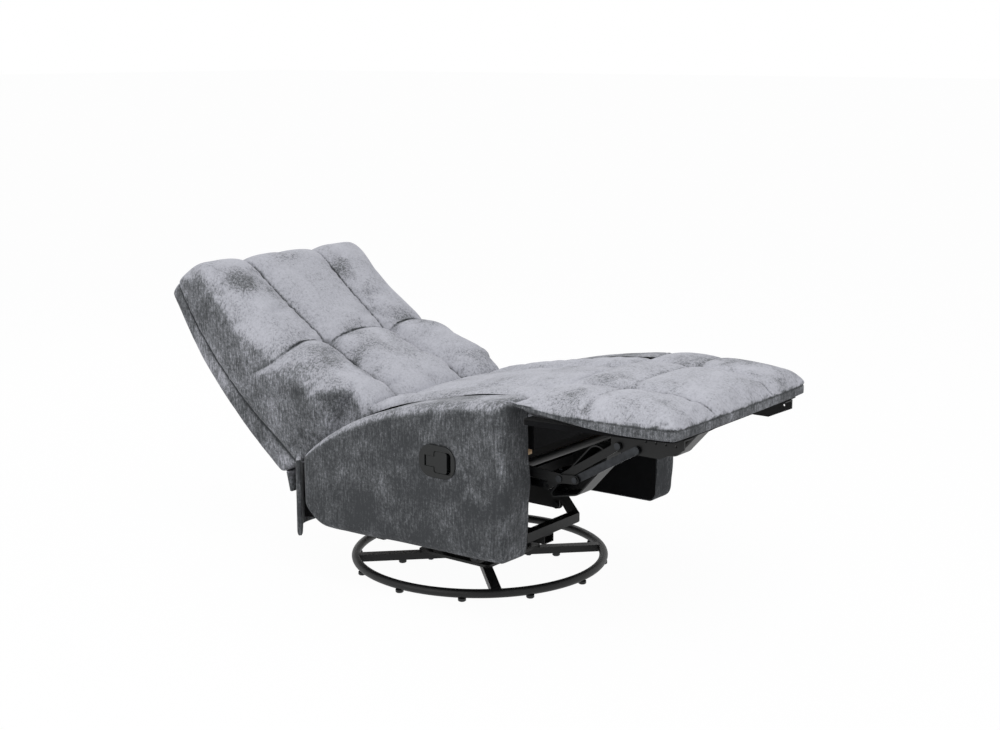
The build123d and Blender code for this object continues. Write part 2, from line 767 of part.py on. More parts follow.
with BuildPart() as left_arm_pad:
    with BuildSketch(Plane.YZ.offset(arm_inner)):
        add(arm_outline())
    extrude(amount=arm_outer - arm_inner)
    fillet(left_arm_pad.faces().sort_by(Axis.X)[-1].edges(), arm_round)
    with BuildSketch(Plane.YZ.offset(arm_inner)):
        add(arm_panel_outline(seat_clear))
    extrude(amount=arm_panel_t + seat_clear, mode=Mode.SUBTRACT)
save("left_arm_pad", left_arm_pad)

with BuildPart() as right_arm_pad:
    mirror(left_arm_pad.part, about=Plane.YZ)
    with BuildSketch(Plane.YZ.offset(-arm_outer)):
        with Locations(bezel_centre):
            RectangleRounded(cup_length + 2 * seat_clear, cup_height + 2 * seat_clear, cup_corner)
    extrude(amount=cup_depth + seat_clear, mode=Mode.SUBTRACT)
save("right_arm_pad", right_arm_pad)

with BuildPart() as arm_linings:
    with BuildSketch(Plane.YZ.offset(arm_inner - lining_gap - lining_t)):
        add(arm_outline(arm_lip / 2))
        holes(arm_bolt_places, hub_bolt_d / 2 + weld_gap)
    extrude(amount=lining_t)
    mirror(about=Plane.YZ)
save("arm_linings", arm_linings)

with BuildPart() as arm_bolts:
    for place in arm_bolt_places:
        add(pin(place, (side_plate_x - rivet_head_t, side_plate_x, hub_bolt_d),
             (side_plate_x, arm_inner + arm_panel_t, hub_bolt_d / 2)))
    mirror(about=Plane.YZ)
save("arm_bolts", arm_bolts)

with BuildPart() as arm_spacers:
    with BuildSketch(Plane.YZ.offset(side_plate_x + plate_t)):
        with Locations(*arm_bolt_places):
            Circle(hub_bolt_d)
            Circle(hub_bolt_d / 2 + weld_gap, mode=Mode.SUBTRACT)
    extrude(amount=arm_inner - lining_gap - lining_t - side_plate_x - plate_t)
    mirror(about=Plane.YZ)
save("arm_spacers", arm_spacers)

# ================================================================ release handle
# A rounded plate with a cup behind it. The lever is let in flush: a neck on an upright
# pin behind and a wider paddle ahead of it, with room for the fingers before the paddle.
cup_y, cup_z = bezel_centre
bezel_face = -arm_outer - bezel_rim_t
lever_pin_x = -arm_outer + lever_pin_r
lever_pin_y = cup_y + 29.5
lever_face = lever_pin_x - lever_barrel_r
lever_shoulder = cup_y + 6.5
lever_front = cup_y - 29.5
recess_front = lever_front - finger_room
slot_rear = lever_pin_y + lever_barrel_r + lever_gap
paddle_rear = lever_shoulder + shoulder_gap
cup_inner_corner = cup_corner - cup_wall
cup_inner_half = cup_height / 2 - cup_wall
pin_past_corner = lever_pin_y + lever_pin_r - cup_y - cup_length / 2 + cup_wall + cup_inner_corner
pin_corner_rise = sqrt(cup_inner_corner**2 - pin_past_corner**2)
lever_pin_half = cup_inner_half - cup_inner_corner + pin_corner_rise - pin_clear

with BuildPart() as handle_bezel:
    with BuildSketch(Plane.YZ.offset(bezel_face)):
        with Locations(bezel_centre):
            RectangleRounded(bezel_length, bezel_height, bezel_corner)
    extrude(amount=bezel_rim_t - seat_clear)
    chamfer(handle_bezel.faces().sort_by(Axis.X)[0].edges(), bezel_edge)
    with BuildSketch(Plane.YZ.offset(-arm_outer - seat_clear)):
        with Locations(bezel_centre):
            RectangleRounded(cup_length, cup_height, cup_corner)
    extrude(amount=cup_depth)
    with BuildSketch(Plane.YZ.offset(-arm_outer - seat_clear)):
        with Locations(bezel_centre):
            RectangleRounded(cup_length - 2 * cup_wall, 2 * cup_inner_half, cup_inner_corner)
    extrude(amount=cup_depth - cup_wall, mode=Mode.SUBTRACT)
    with BuildSketch(Plane.YZ.offset(bezel_face)):
        with Locations(((recess_front + paddle_rear) / 2, cup_z)):
            RectangleRounded(paddle_rear - recess_front, paddle_height + 2 * lever_gap, paddle_round)
        with Locations(((lever_shoulder + slot_rear) / 2, cup_z)):
            Rectangle(slot_rear - lever_shoulder, neck_height + 2 * lever_gap)
    extrude(amount=bezel_rim_t, mode=Mode.SUBTRACT)
save("handle_bezel", handle_bezel)

with BuildPart() as lever_pin:
    with BuildSketch(Plane.XY.offset(cup_z - lever_pin_half)):
        with Locations((lever_pin_x, lever_pin_y)):
            Circle(lever_pin_r)
    extrude(amount=2 * lever_pin_half)
save("lever_pin", lever_pin)

with BuildPart() as release_lever:
    with BuildSketch(Plane.YZ.offset(lever_face)):
        with Locations(((lever_front + lever_shoulder) / 2, cup_z)):
            RectangleRounded(lever_shoulder - lever_front, paddle_height, paddle_round)
        with Locations(((lever_shoulder + lever_pin_y) / 2 - lap, cup_z)):
            Rectangle(lever_pin_y - lever_shoulder + 2 * lap, neck_height)
    extrude(amount=lever_t)
    with BuildSketch(Plane.YZ.offset(lever_face)):
        with Locations((lever_front + lip_t / 2, cup_z)):
            Rectangle(lip_t, paddle_height - 2 * paddle_round)
    extrude(amount=lip_depth)
    with BuildSketch(Plane.XY.offset(cup_z - neck_height / 2)):
        with Locations((lever_pin_x, lever_pin_y)):
            Circle(lever_barrel_r)
    extrude(amount=neck_height)
    with BuildSketch(Plane.XY.offset(cup_z - neck_height / 2)):
        with Locations((lever_pin_x, lever_pin_y)):
            Circle(lever_pin_r + pin_clear)
    extrude(amount=neck_height, mode=Mode.SUBTRACT)
save("release_lever", release_lever)

# ================================================================ seat
def seat_under(y):
    """Height of the cushion's underside at y."""
    share = (y - seat_front) / (seat_rear - seat_front)
    return seat_base_front + share * (seat_base_rear - seat_base_front)


spring_room = wire_t + 2 * spring_gap
seat_slope = degrees(atan2(seat_base_rear - seat_base_front, seat_rear - seat_front))
front_rail_y = -340.0
front_rail_low = 392.0
rear_rail_y = 80.0

with BuildPart() as seat_cushion:
    with BuildSketch(Plane.YZ.offset(-cushion_half)):
        with BuildLine():
            top = Spline(*seat_top, tangents=[(1, 0.02), (1, -0.45)])
            rear = Line(top @ 1, (seat_rear, seat_base_rear))
            under = Line(rear @ 1, (seat_front + seat_toe, seat_base_front))
            front = Line(under @ 1, (seat_front, seat_front_top))
            ThreePointArc(front @ 1, seat_nose, top @ 0)
        make_face()
    extrude(amount=2 * cushion_half)
save("seat_cushion", seat_cushion)

with BuildPart() as seat_front_rail:
    with BuildSketch(Plane.YZ.offset(-seat_rail_half)):
        with BuildLine():
            Polyline(
                (front_rail_y, front_rail_low),
                (front_rail_y + seat_rail_t, front_rail_low),
                (front_rail_y + seat_rail_t, seat_under(front_rail_y + seat_rail_t) - seat_clear),
                (front_rail_y, seat_under(front_rail_y) - seat_clear),
                close=True,
            )
        make_face()
    extrude(amount=2 * seat_rail_half)
save("seat_front_rail", seat_front_rail)

with BuildPart() as seat_rear_rail:
    with BuildSketch(Plane.YZ.offset(-side_rail_x)):
        with BuildLine():
            Polyline(
                (rear_rail_y, seat_flange_z + seat_flange_t),
                (rear_rail_y - seat_rail_t, seat_flange_z + seat_flange_t),
                (rear_rail_y - seat_rail_t, seat_under(rear_rail_y - seat_rail_t) - spring_room),
                (rear_rail_y, seat_under(rear_rail_y) - spring_room),
                close=True,
            )
        make_face()
    extrude(amount=2 * side_rail_x)
save("seat_rear_rail", seat_rear_rail)

with BuildPart() as seat_side_rails:
    with BuildSketch(Plane.YZ.offset(side_rail_x)):
        with BuildLine():
            Polyline(
                (front_rail_y + seat_rail_t, seat_flange_z + seat_flange_t),
                (rear_rail_y, seat_flange_z + seat_flange_t),
                (rear_rail_y, seat_under(rear_rail_y) - seat_clear),
                (front_rail_y + seat_rail_t, seat_under(front_rail_y + seat_rail_t) - seat_clear),
                close=True,
            )
        make_face()
    extrude(amount=seat_rail_half - side_rail_x)
    mirror(about=Plane.YZ)
save("seat_side_rails", seat_side_rails)


def zigzag(x, start, length, pitch):
    """One flat sinuous spring as a sketch, running along local y from start."""
    runs = int(length / pitch)
    bend = pitch / 2
    reach = spring_width / 2 - bend
    with BuildSketch() as spring:
        with BuildLine() as wire:
            Line((x, start), (x, start + bend))
            for i in range(runs):
                side = 1 if i % 2 else -1
                y = start + bend + i * pitch
                Line((x, y), (x + side * reach, y))
                ThreePointArc(
                    (x + side * reach, y),
                    (x + side * (reach + bend), y + bend),
                    (x + side * reach, y + pitch),
                )
                Line((x + side * reach, y + pitch), (x, y + pitch))
            Line((x, start + bend + runs * pitch), (x, start + length))
        trace(wire.line, line_width=wire_t)
    return spring.sketch


spring_xs = (-150.0, -50.0, 50.0, 150.0)
spring_front = front_rail_y + seat_rail_t
spring_plane = Plane(
    origin=(0, spring_front, seat_under(spring_front) - wire_t - spring_gap),
    x_dir=(1, 0, 0),
    z_dir=(0, -sin(radians(seat_slope)), cos(radians(seat_slope))),
)
with BuildPart() as seat_springs:
    for x in spring_xs:
        with BuildSketch(spring_plane):
            add(zigzag(x, spring_gap, rear_rail_y - spring_front, seat_spring_pitch))
        extrude(amount=wire_t)
save("seat_springs", seat_springs)

# ================================================================ rear of the body
# Side view of the back, fully reclined: its face, its underside and its rear, the
# corner cut away above each arm, and the part that reaches down between the arms.
front_face = [(653.0, 734.0), (518.0, 637.0), (337.0, 528.0), (172.0, 445.0)]
front_low = (158.0, 420.0)
rear_face = [(807.0, 658.0), (714.0, 514.0), (542.0, 327.0), (415.0, 222.0)]
top_crest = (700.0, 738.0)
arm_trim = [(195.0, 457.0), (218.0, 378.0), (218.0, 340.0), (140.0, 400.0)]
between_arms = [(100.0, 300.0), (100.0, 460.0), (240.0, 480.0), (260.0, 300.0)]
bay_below = 30.0
panel_toe = 8.0
mid_low = (229.0, 365.0)
mid_top = (722.0, 655.0)

rear_rail_t = 20.0
rear_rail_height = 80.0
rear_rail_z = 175.0
with BuildPart() as rear_rail:
    with BuildSketch(Plane.YZ.offset(-arm_inner)):
        with Locations((tail_rear - rear_rail_t / 2, rear_rail_z)):
            Rectangle(rear_rail_t, rear_rail_height)
    extrude(amount=2 * arm_inner)
save("rear_rail", rear_rail)

fascia_bottom = 104.0
fascia_top = 300.0
fascia_inset = 8.0      # its front edges, from the arms' outer faces
fascia_arm_gap = 2.0
fascia_cut_y = tail_rear + 150.0
fascia_edge = arm_outer - fascia_inset
fascia_corner = arm_inner + arm_panel_t
with BuildPart() as rear_fascia:
    with BuildSketch(Plane.XY.offset(fascia_bottom)):
        with BuildLine():
            Polyline(
                (-fascia_edge, arm_rear_y + fascia_arm_gap),
                (-fascia_corner, tail_rear + seat_clear),
                (fascia_corner, tail_rear + seat_clear),
                (fascia_edge, arm_rear_y + fascia_arm_gap),
            )
            offset(amount=fascia_t, side=Side.LEFT)
        make_face()
    extrude(amount=fascia_top - fascia_bottom)
    under_back = moved_square([front_low, rear_face[-1]], -fascia_below_back)
    with BuildSketch(Plane.YZ.offset(-arm_outer - fascia_t)):
        with BuildLine():
            Polyline(*under_back, (fascia_cut_y, rear_face[-1][1]), (fascia_cut_y, front_low[1]), close=True)
        make_face()
    extrude(amount=2 * (arm_outer + fascia_t), mode=Mode.SUBTRACT)
save("rear_fascia", rear_fascia)

# ================================================================ back
def shifted(points, distance):
    """Rear-face points moved inward, square to the back."""
    along = bearing_of(minus(rear_face[0], rear_face[-1]))
    step = turn((distance, 0), along + 90)
    return [plus(point, step) for point in points]


def wedge():
    """The full side view of the back as a sketch."""
    with BuildSketch() as outline:
        with BuildLine():
            front = Spline(*front_face)
            low = Line(front @ 1, front_low)
            Line(low @ 1, rear_face[-1])
            rear = Spline(*reversed(rear_face))
            Polyline(rear @ 1, top_crest, front @ 0)
        make_face()
    return outline.sketch


def frame_bay(gap=0.0):
    """The space behind the cushion's middle plane as a sketch, open below and behind."""
    down_rear = turn((back_border + gap, 0), bearing_of(minus(rear_face[-1], rear_face[0])))
    top_rear = plus(rear_face[0], down_rear)
    outside = shifted([top_rear, rear_face[-1]], -2 * back_border)
    low, top = moved_square([mid_low, plus(mid_top, (0, -gap))], -gap)
    with BuildSketch() as bay:
        with BuildLine():
            Polyline(low, top, top_rear, *outside, plus(mid_low, (0, -bay_below)), close=True)
        make_face()
    return bay.sketch


with BuildPart() as back_cushion:
    with BuildSketch(Plane.YZ.offset(-back_half)):
        add(wedge())
        with BuildLine():
            Polyline(front_low, front_face[-1], *arm_trim, close=True)
        make_face(mode=Mode.SUBTRACT)
    extrude(amount=2 * back_half)
    with BuildSketch(Plane.YZ.offset(-back_lower_half)):
        add(wedge())
        with BuildLine():
            Polyline(*between_arms, close=True)
        make_face(mode=Mode.INTERSECT)
    extrude(amount=2 * back_lower_half)
    with BuildSketch(Plane.YZ.offset(-back_side_x - back_side_t - seat_clear)):
        add(frame_bay())
    extrude(amount=2 * (back_side_x + back_side_t + seat_clear), mode=Mode.SUBTRACT)
save("back_cushion", back_cushion)

with BuildPart() as back_side_panels:
    with BuildSketch(Plane.YZ.offset(back_side_x)):
        with BuildLine():
            rear = Spline(*shifted(rear_face, panel_t + panel_inset))
            Polyline(rear @ 1, plus(mid_low, (panel_toe, 0)), mid_low, mid_top, rear @ 0)
        make_face()
        add(frame_bay(seat_clear), mode=Mode.INTERSECT)
    extrude(amount=back_side_t)
    mirror(about=Plane.YZ)
save("back_side_panels", back_side_panels)

with BuildPart() as back_rear_panel:
    with BuildSketch(Plane.YZ.offset(-back_side_x - back_side_t)):
        with BuildLine():
            outer = Spline(*shifted(rear_face, panel_inset))
            inner = Spline(*reversed(shifted(rear_face, panel_t + panel_inset)))
            Line(outer @ 1, inner @ 0)
            Line(inner @ 1, outer @ 0)
        make_face()
        add(frame_bay(seat_clear), mode=Mode.INTERSECT)
    extrude(amount=2 * (back_side_x + back_side_t))
save("back_rear_panel", back_rear_panel)

# Rails across the back lie just behind the springs on the cushion's middle plane.
back_angle = bearing_of(minus(mid_top, mid_low))
rail_depth = 22.0
rail_width = 45.0
back_length = hypot(*minus(mid_top, mid_low))
back_rail_places = (50.0, back_length / 2, back_length - 45.0)
back_spring_low = 30.0
back_spring_length = back_length - 55.0


def behind_middle(along, depth):
    """A point up the middle plane and back from it."""
    return plus(mid_low, turn((along, -depth), back_angle))


with BuildPart() as back_cross_rails:
    with BuildSketch(Plane.YZ.offset(-back_side_x)):
        for along in back_rail_places:
            with Locations(behind_middle(along, spring_room + rail_depth / 2)):
                Rectangle(rail_width, rail_depth, rotation=back_angle)
    extrude(amount=2 * back_side_x)
save("back_cross_rails", back_cross_rails)

back_spring_plane = Plane(
    origin=(0, *behind_middle(0, spring_gap)),
    x_dir=(-1, 0, 0),
    z_dir=(0, *turn((0, -1), back_angle)),
)
with BuildPart() as back_springs:
    for x in spring_xs:
        with BuildSketch(back_spring_plane):
            add(zigzag(x, back_spring_low, back_spring_length, back_spring_pitch))
        extrude(amount=wire_t)
save("back_springs", back_springs)

with BuildPart() as back_hinge_brackets:
    with BuildSketch(Plane.YZ.offset(side_plate_x - seat_clear - bracket_t)):
        with Locations(recline_pivot):
            Circle(recline_boss_r)
        with Locations(bracket_knee):
            Circle(bracket_knee_r)
        make_hull()
        with BuildSketch(mode=Mode.PRIVATE) as upper:
            with Locations(bracket_knee):
                Circle(bracket_knee_r)
            with Locations(bracket_end):
                Circle(bracket_end_r)
            make_hull()
        add(upper.sketch)
        holes([recline_pivot], recline_pin_r + pin_clear)
    extrude(amount=bracket_t)
    mirror(about=Plane.YZ)
save("back_hinge_brackets", back_hinge_brackets)

flap_outline = [(400.0, 233.0), (409.0, 226.0), (396.0, 178.0), (389.0, 179.0)]
flap_half = back_half - 14.0
with BuildPart() as back_lower_flap:
    with BuildSketch(Plane.YZ.offset(-flap_half)):
        with BuildLine():
            Polyline(*flap_outline, close=True)
        make_face()
    extrude(amount=2 * flap_half)
save("back_lower_flap", back_lower_flap)

# ================================================================ footrest linkage
with BuildPart() as lower_links:
    with BuildSketch(Plane.YZ.offset(lower_link_x)):
        link_outline(fixed_pivot, knee_open, link_r)
        link_outline(knee_open, elbow_open, link_r - 2)
        holes([fixed_pivot], glide_pin_r + pin_clear)
        holes([knee_open], rivet_r + pin_clear)
        holes([elbow_open], rivet_r + weld_gap)
    extrude(amount=link_t)
    mirror(about=Plane.YZ)
save("lower_links", lower_links)

tube_place = plus(fixed_pivot, turn((torque_tube_at, 0), lower_open))
with BuildPart() as torque_tube:
    with BuildSketch(Plane.YZ.offset(-lower_link_x)):
        with Locations(tube_place):
            Circle(torque_tube_d / 2)
            Circle(torque_tube_d / 2 - box_wall, mode=Mode.SUBTRACT)
    extrude(amount=2 * lower_link_x)
save("torque_tube", torque_tube)

with BuildPart() as elbow_rivets:
    add(pin(elbow_open,
            (upper_link_x - seat_clear - rivet_head_t, upper_link_x - seat_clear, rivet_head_r),
            (upper_link_x - seat_clear, lower_link_x + link_t, rivet_r),
            (lower_link_x + link_t, lower_link_x + link_t + rivet_head_t, rivet_head_r - 1)))
    mirror(about=Plane.YZ)
save("elbow_rivets", elbow_rivets)

with BuildPart() as upper_links:
    with BuildSketch(Plane.YZ.offset(upper_link_x)):
        link_outline(tail_open, upper_foot, upper_link_r)
        holes([upper_foot], rivet_r + pin_clear)
        holes([knee_open, tail_open], rivet_r + weld_gap)
    extrude(amount=link_t)
    mirror(about=Plane.YZ)
save("upper_links", upper_links)

lower_link_far = lower_link_x + link_t + seat_clear
upper_link_far = upper_link_x + link_t
inner_link_near = inner_link_x - seat_clear
with BuildPart() as knee_rivets:
    add(pin(knee_open,
            (upper_link_x - rivet_head_t, upper_link_x, rivet_head_r),
            (upper_link_x, lower_link_far, rivet_r),
            (lower_link_far, lower_link_far + rivet_head_t, rivet_head_r)))
    add(pin(tail_open,
            (inner_link_near - rivet_head_t, inner_link_near, rivet_head_r - boss_edge),
            (inner_link_near, upper_link_far, rivet_r),
            (upper_link_far, upper_link_far + link_gap / 2, rivet_r + lap)))
    mirror(about=Plane.YZ)
save("knee_rivets", knee_rivets)

with BuildPart() as driver_links:
    with BuildSketch(Plane.YZ.offset(inner_link_x)):
        link_outline(driver_pivot, tail_open, upper_link_r)
        holes([driver_pivot], glide_pin_r + pin_clear)
        holes([tail_open], rivet_r + driver_slack)
    extrude(amount=link_t)
    mirror(about=Plane.YZ)
save("driver_links", driver_links)

with BuildPart() as outer_links:
    with BuildSketch(Plane.YZ.offset(upper_link_x)):
        link_outline(outer_foot, elbow_open, upper_link_r)
        holes([outer_foot], rivet_r + pin_clear)
        holes([elbow_open], rivet_r + outer_slack)
    extrude(amount=link_t)
    mirror(about=Plane.YZ)
save("outer_links", outer_links)

# Moulded guards that keep fingers out of the scissor, open towards the links.
guard_outer_x = inner_link_x - 2 * seat_clear
guard_inner_x = guard_outer_x - 60.0
guard_boss_r = 6.0
guard_wall = 3.0
guard_round = 6.0
guard_lobes = [((-519.0, 404.0), 28.0), ((-455.0, 334.0), 29.0), ((-404.0, 301.0), 8.0)]
guard_bosses = [(-480.0, 377.0), (-455.0, 361.0)]
with BuildPart() as finger_guards:
    with BuildSketch(Plane.YZ.offset(guard_inner_x)):
        for centre, radius in guard_lobes:
            with Locations(centre):
                Circle(radius)
        make_hull()
    extrude(amount=guard_outer_x - guard_inner_x)
    fillet(finger_guards.faces().sort_by(Axis.X)[0].edges(), guard_round)
    offset(amount=-guard_wall, openings=finger_guards.faces().sort_by(Axis.X)[-1])
    with BuildSketch(Plane.YZ.offset(guard_inner_x + guard_wall - lap)):
        with Locations(*guard_bosses):
            Circle(guard_boss_r)
    extrude(amount=upper_link_x - guard_inner_x - guard_wall + lap)
    mirror(about=Plane.YZ)
save("finger_guards", finger_guards)

# ================================================================ footrest
board_rear, board_z = board_open
board_top = board_z + foot_board_t
bracket_front = -745.0
bracket_rear = -560.0
bracket_depth = 50.0
bracket_nose = (60.0, 22.0)
bracket_hole_ys = (-650.0, -675.0, -700.0, -725.0)
bracket_hole_z = board_z - 16.0
bracket_hole_r = 3.0
bracket_flange_x = inner_link_x - 32.0
bracket_sheet = 3.0
screw_ys = (-600.0, -660.0, -720.0)
screw_x = inner_link_x - 19.0
screw_r = 2.5
screw_head_t = 2.5
screw_cover = 2.0
screw_places = [(side * screw_x, y) for side in (-1, 1) for y in screw_ys]


def footrest_plan(inset):
    """The footrest seen from above as a sketch: wide behind, narrower in front."""
    rear = board_rear + boss_edge - inset
    front = foot_front + inset
    middle_half = (foot_rear_half + foot_front_half) / 2 + foot_swell - inset
    with BuildSketch() as plan:
        with BuildLine():
            side = Spline(
                (foot_rear_half - inset, rear),
                (middle_half, (rear + front) / 2),
                (foot_front_half - inset, front),
            )
            across = Line(side @ 1, (-foot_front_half + inset, front))
            other = Spline(
                across @ 1,
                (-middle_half, (rear + front) / 2),
                (-foot_rear_half + inset, rear),
            )
            Line(other @ 1, side @ 0)
        make_face()
        fillet(plan.vertices().group_by(Axis.Y)[0], foot_front_round)
        fillet(plan.vertices().group_by(Axis.Y)[-1], foot_rear_round)
    return plan.sketch


with BuildPart() as footrest_board:
    with BuildSketch(Plane.XY.offset(board_z)):
        add(footrest_plan(foot_border))
    extrude(amount=foot_board_t)
    with BuildSketch(Plane.XY.offset(board_z)):
        with Locations(*screw_places):
            Circle(screw_r + weld_gap)
    extrude(amount=foot_board_t - screw_cover, mode=Mode.SUBTRACT)
save("footrest_board", footrest_board)

with BuildPart() as footrest_pad:
    with BuildSketch(Plane.XY.offset(board_z + foot_lip)):
        add(footrest_plan(0))
    extrude(amount=foot_edge_z - board_z - foot_lip)
    with BuildSketch(Plane.XY.offset(foot_edge_z)):
        add(footrest_plan(0))
    with BuildSketch(Plane.XY.offset(foot_top_z)):
        add(footrest_plan(foot_crown_inset))
    loft(ruled=True)
    with BuildSketch(Plane.XY.offset(board_z)):
        add(footrest_plan(foot_border - seat_clear))
    extrude(amount=foot_board_t + seat_clear, mode=Mode.SUBTRACT)
save("footrest_pad", footrest_pad)

with BuildPart() as footrest_brackets:
    with BuildSketch(Plane.YZ.offset(inner_link_x)):
        with BuildLine():
            Polyline(
                (bracket_rear, board_z),
                (bracket_front, board_z),
                (bracket_front, board_z - bracket_nose[1]),
                (bracket_front + bracket_nose[0], board_z - bracket_depth),
                (bracket_rear, board_z - bracket_depth),
                close=True,
            )
        make_face()
        holes([upper_foot, outer_foot], rivet_r + weld_gap)
        holes([(y, bracket_hole_z) for y in bracket_hole_ys], bracket_hole_r)
    extrude(amount=link_t)
    with BuildSketch(Plane.XY.offset(board_z - bracket_sheet)):
        with Locations(((bracket_flange_x + inner_link_x) / 2, (bracket_front + bracket_rear) / 2)):
            Rectangle(inner_link_x - bracket_flange_x, bracket_rear - bracket_front)
        holes([(screw_x, y) for y in screw_ys], screw_r + weld_gap)
    extrude(amount=bracket_sheet)
    mirror(about=Plane.YZ)
save("footrest_brackets", footrest_brackets)

foot_rivet_far = upper_link_far + seat_clear
with BuildPart() as footrest_rivets:
    for place in (upper_foot, outer_foot):
        add(pin(place,
                (inner_link_x - rivet_head_t, inner_link_x, rivet_head_r),
                (inner_link_x, foot_rivet_far, rivet_r),
                (foot_rivet_far, foot_rivet_far + rivet_head_t, rivet_head_r)))
    mirror(about=Plane.YZ)
save("footrest_rivets", footrest_rivets)

with BuildPart() as footrest_screws:
    for z_from, z_to, radius in (
        (board_z - bracket_sheet - screw_head_t, board_z - bracket_sheet, 2 * screw_r),
        (board_z - bracket_sheet, board_top - 1.5 * screw_cover, screw_r),
    ):
        with BuildSketch(Plane.XY.offset(z_from)):
            with Locations(*screw_places):
                Circle(radius)
        extrude(amount=z_to - z_from)
save("footrest_screws", footrest_screws)
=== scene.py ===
"""Looks for a swivel glider recliner: quilted chenille, cloth, steel, plywood and moulded plastic.

Sizes are in millimetres from the point where the swivel axis meets the floor, with the
chair facing -Y, and `placed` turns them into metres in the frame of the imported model.
"""

import json
import logging
import math
from dataclasses import dataclass
from enum import Enum

import bpy
import numpy as np
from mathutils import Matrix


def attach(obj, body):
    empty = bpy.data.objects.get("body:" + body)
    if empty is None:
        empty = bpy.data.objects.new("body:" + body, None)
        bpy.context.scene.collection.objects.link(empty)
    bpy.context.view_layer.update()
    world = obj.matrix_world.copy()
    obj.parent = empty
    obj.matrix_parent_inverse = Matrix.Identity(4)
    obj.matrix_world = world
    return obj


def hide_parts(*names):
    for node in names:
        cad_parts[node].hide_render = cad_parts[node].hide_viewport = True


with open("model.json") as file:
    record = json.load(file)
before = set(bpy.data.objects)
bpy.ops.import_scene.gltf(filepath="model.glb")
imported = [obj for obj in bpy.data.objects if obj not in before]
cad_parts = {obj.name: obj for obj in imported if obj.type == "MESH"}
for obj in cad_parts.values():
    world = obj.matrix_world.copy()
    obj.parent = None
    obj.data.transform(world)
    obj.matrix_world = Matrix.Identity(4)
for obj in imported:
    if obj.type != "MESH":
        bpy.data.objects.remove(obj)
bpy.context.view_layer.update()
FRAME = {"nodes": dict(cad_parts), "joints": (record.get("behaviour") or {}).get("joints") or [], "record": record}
LOG = logging.getLogger("recliner")
MM = 0.001
SWIVEL_AT = next(j["pos_m"] for j in FRAME["joints"] if j["name"] == "swivel")

Array = np.ndarray
Place = tuple[float, float, float]
Patches = tuple[tuple[float, float, float, float, float], ...]


# ---------------------------------------------------------------- geometry
def placed(points: Array) -> Array:
    """Moves points from the swivel axis in millimetres to the frame in metres.

    Args:
        points: rows of x, y, z in millimetres.

    Returns:
        The same rows in metres, moved by the swivel axis's place.
    """
    return points * MM + np.array([SWIVEL_AT[0], SWIVEL_AT[1], 0.0])


def smooth_step(value: Array, low: float, high: float) -> Array:
    """Rises from 0 at low to 1 at high as 3t^2 - 2t^3."""
    t = np.clip((value - low) / (high - low), 0.0, 1.0)
    return t * t * (3.0 - 2.0 * t)


def bell(distance: Array, reach: float) -> Array:
    """Falls from 1 at distance 0 as exp(-(distance / reach)^2)."""
    return np.exp(-((distance / reach) ** 2))


def quarter(value: Array) -> Array:
    """Rises from 0 to 1 like a quarter of a circle: sqrt(1 - (1 - v)^2), held at 1 past v = 1."""
    v = np.clip(value, 0.0, 1.0)
    return np.sqrt(1.0 - (1.0 - v) ** 2)


@dataclass(frozen=True)
class Course:
    """A smooth side-view line through a few (y, z) points, from t = 0 to t = 1."""

    points: tuple[tuple[float, float], ...]

    def at(self, t: Array) -> Array:
        """Points on the line: a cubic Hermite curve over chord length.

        Args:
            t: shares of the chord length, any shape.

        Returns:
            An array of that shape with (y, z) as its last axis.
        """
        knots = np.array(self.points, float)
        if len(knots) == 2:
            return knots[0] + np.asarray(t)[..., None] * (knots[1] - knots[0])
        chord = np.r_[0.0, np.cumsum(np.linalg.norm(np.diff(knots, axis=0), axis=1))]
        chord /= chord[-1]
        slope = np.gradient(knots, chord, axis=0, edge_order=1)
        t = np.clip(np.asarray(t, float), 0.0, 1.0)
        i = np.clip(np.searchsorted(chord, t, side="right") - 1, 0, len(knots) - 2)
        span = (chord[i + 1] - chord[i])[..., None]
        a = (t[..., None] - chord[i][..., None]) / span
        return (
            (2 * a**3 - 3 * a**2 + 1) * knots[i]
            + (a**3 - 2 * a**2 + a) * span * slope[i]
            + (3 * a**2 - 2 * a**3) * knots[i + 1]
            + (a**3 - a**2) * span * slope[i + 1]
        )


def graded(low: float, high: float, cell: float, seams: tuple[float, ...] = (), fine: float = 2.0,
           reach: float = 9.0) -> Array:
    """Positions from low to high, close together near each seam.

    The count grows as the integral of 1 / cell + sum((1 / fine - 1 / cell) exp(-(d / reach)^2)),
    and the positions are where that integral passes whole steps.

    Args:
        low: first position.
        high: last position.
        cell: spacing far from every seam.
        seams: places that need fine spacing.
        fine: spacing at a seam.
        reach: how far the fine spacing spreads.

    Returns:
        A rising array of positions.
    """
    samples = 4000
    x = np.linspace(low, high, samples)
    density = np.full_like(x, 1.0 / cell)
    for seam in seams:
        density += (1.0 / fine - 1.0 / cell) * bell(x - seam, reach)
    total = np.r_[0.0, np.cumsum((density[1:] + density[:-1]) / 2 * np.diff(x))]
    steps = max(2, int(round(total[-1])))
    return np.interp(np.linspace(0.0, total[-1], steps + 1), total, x)


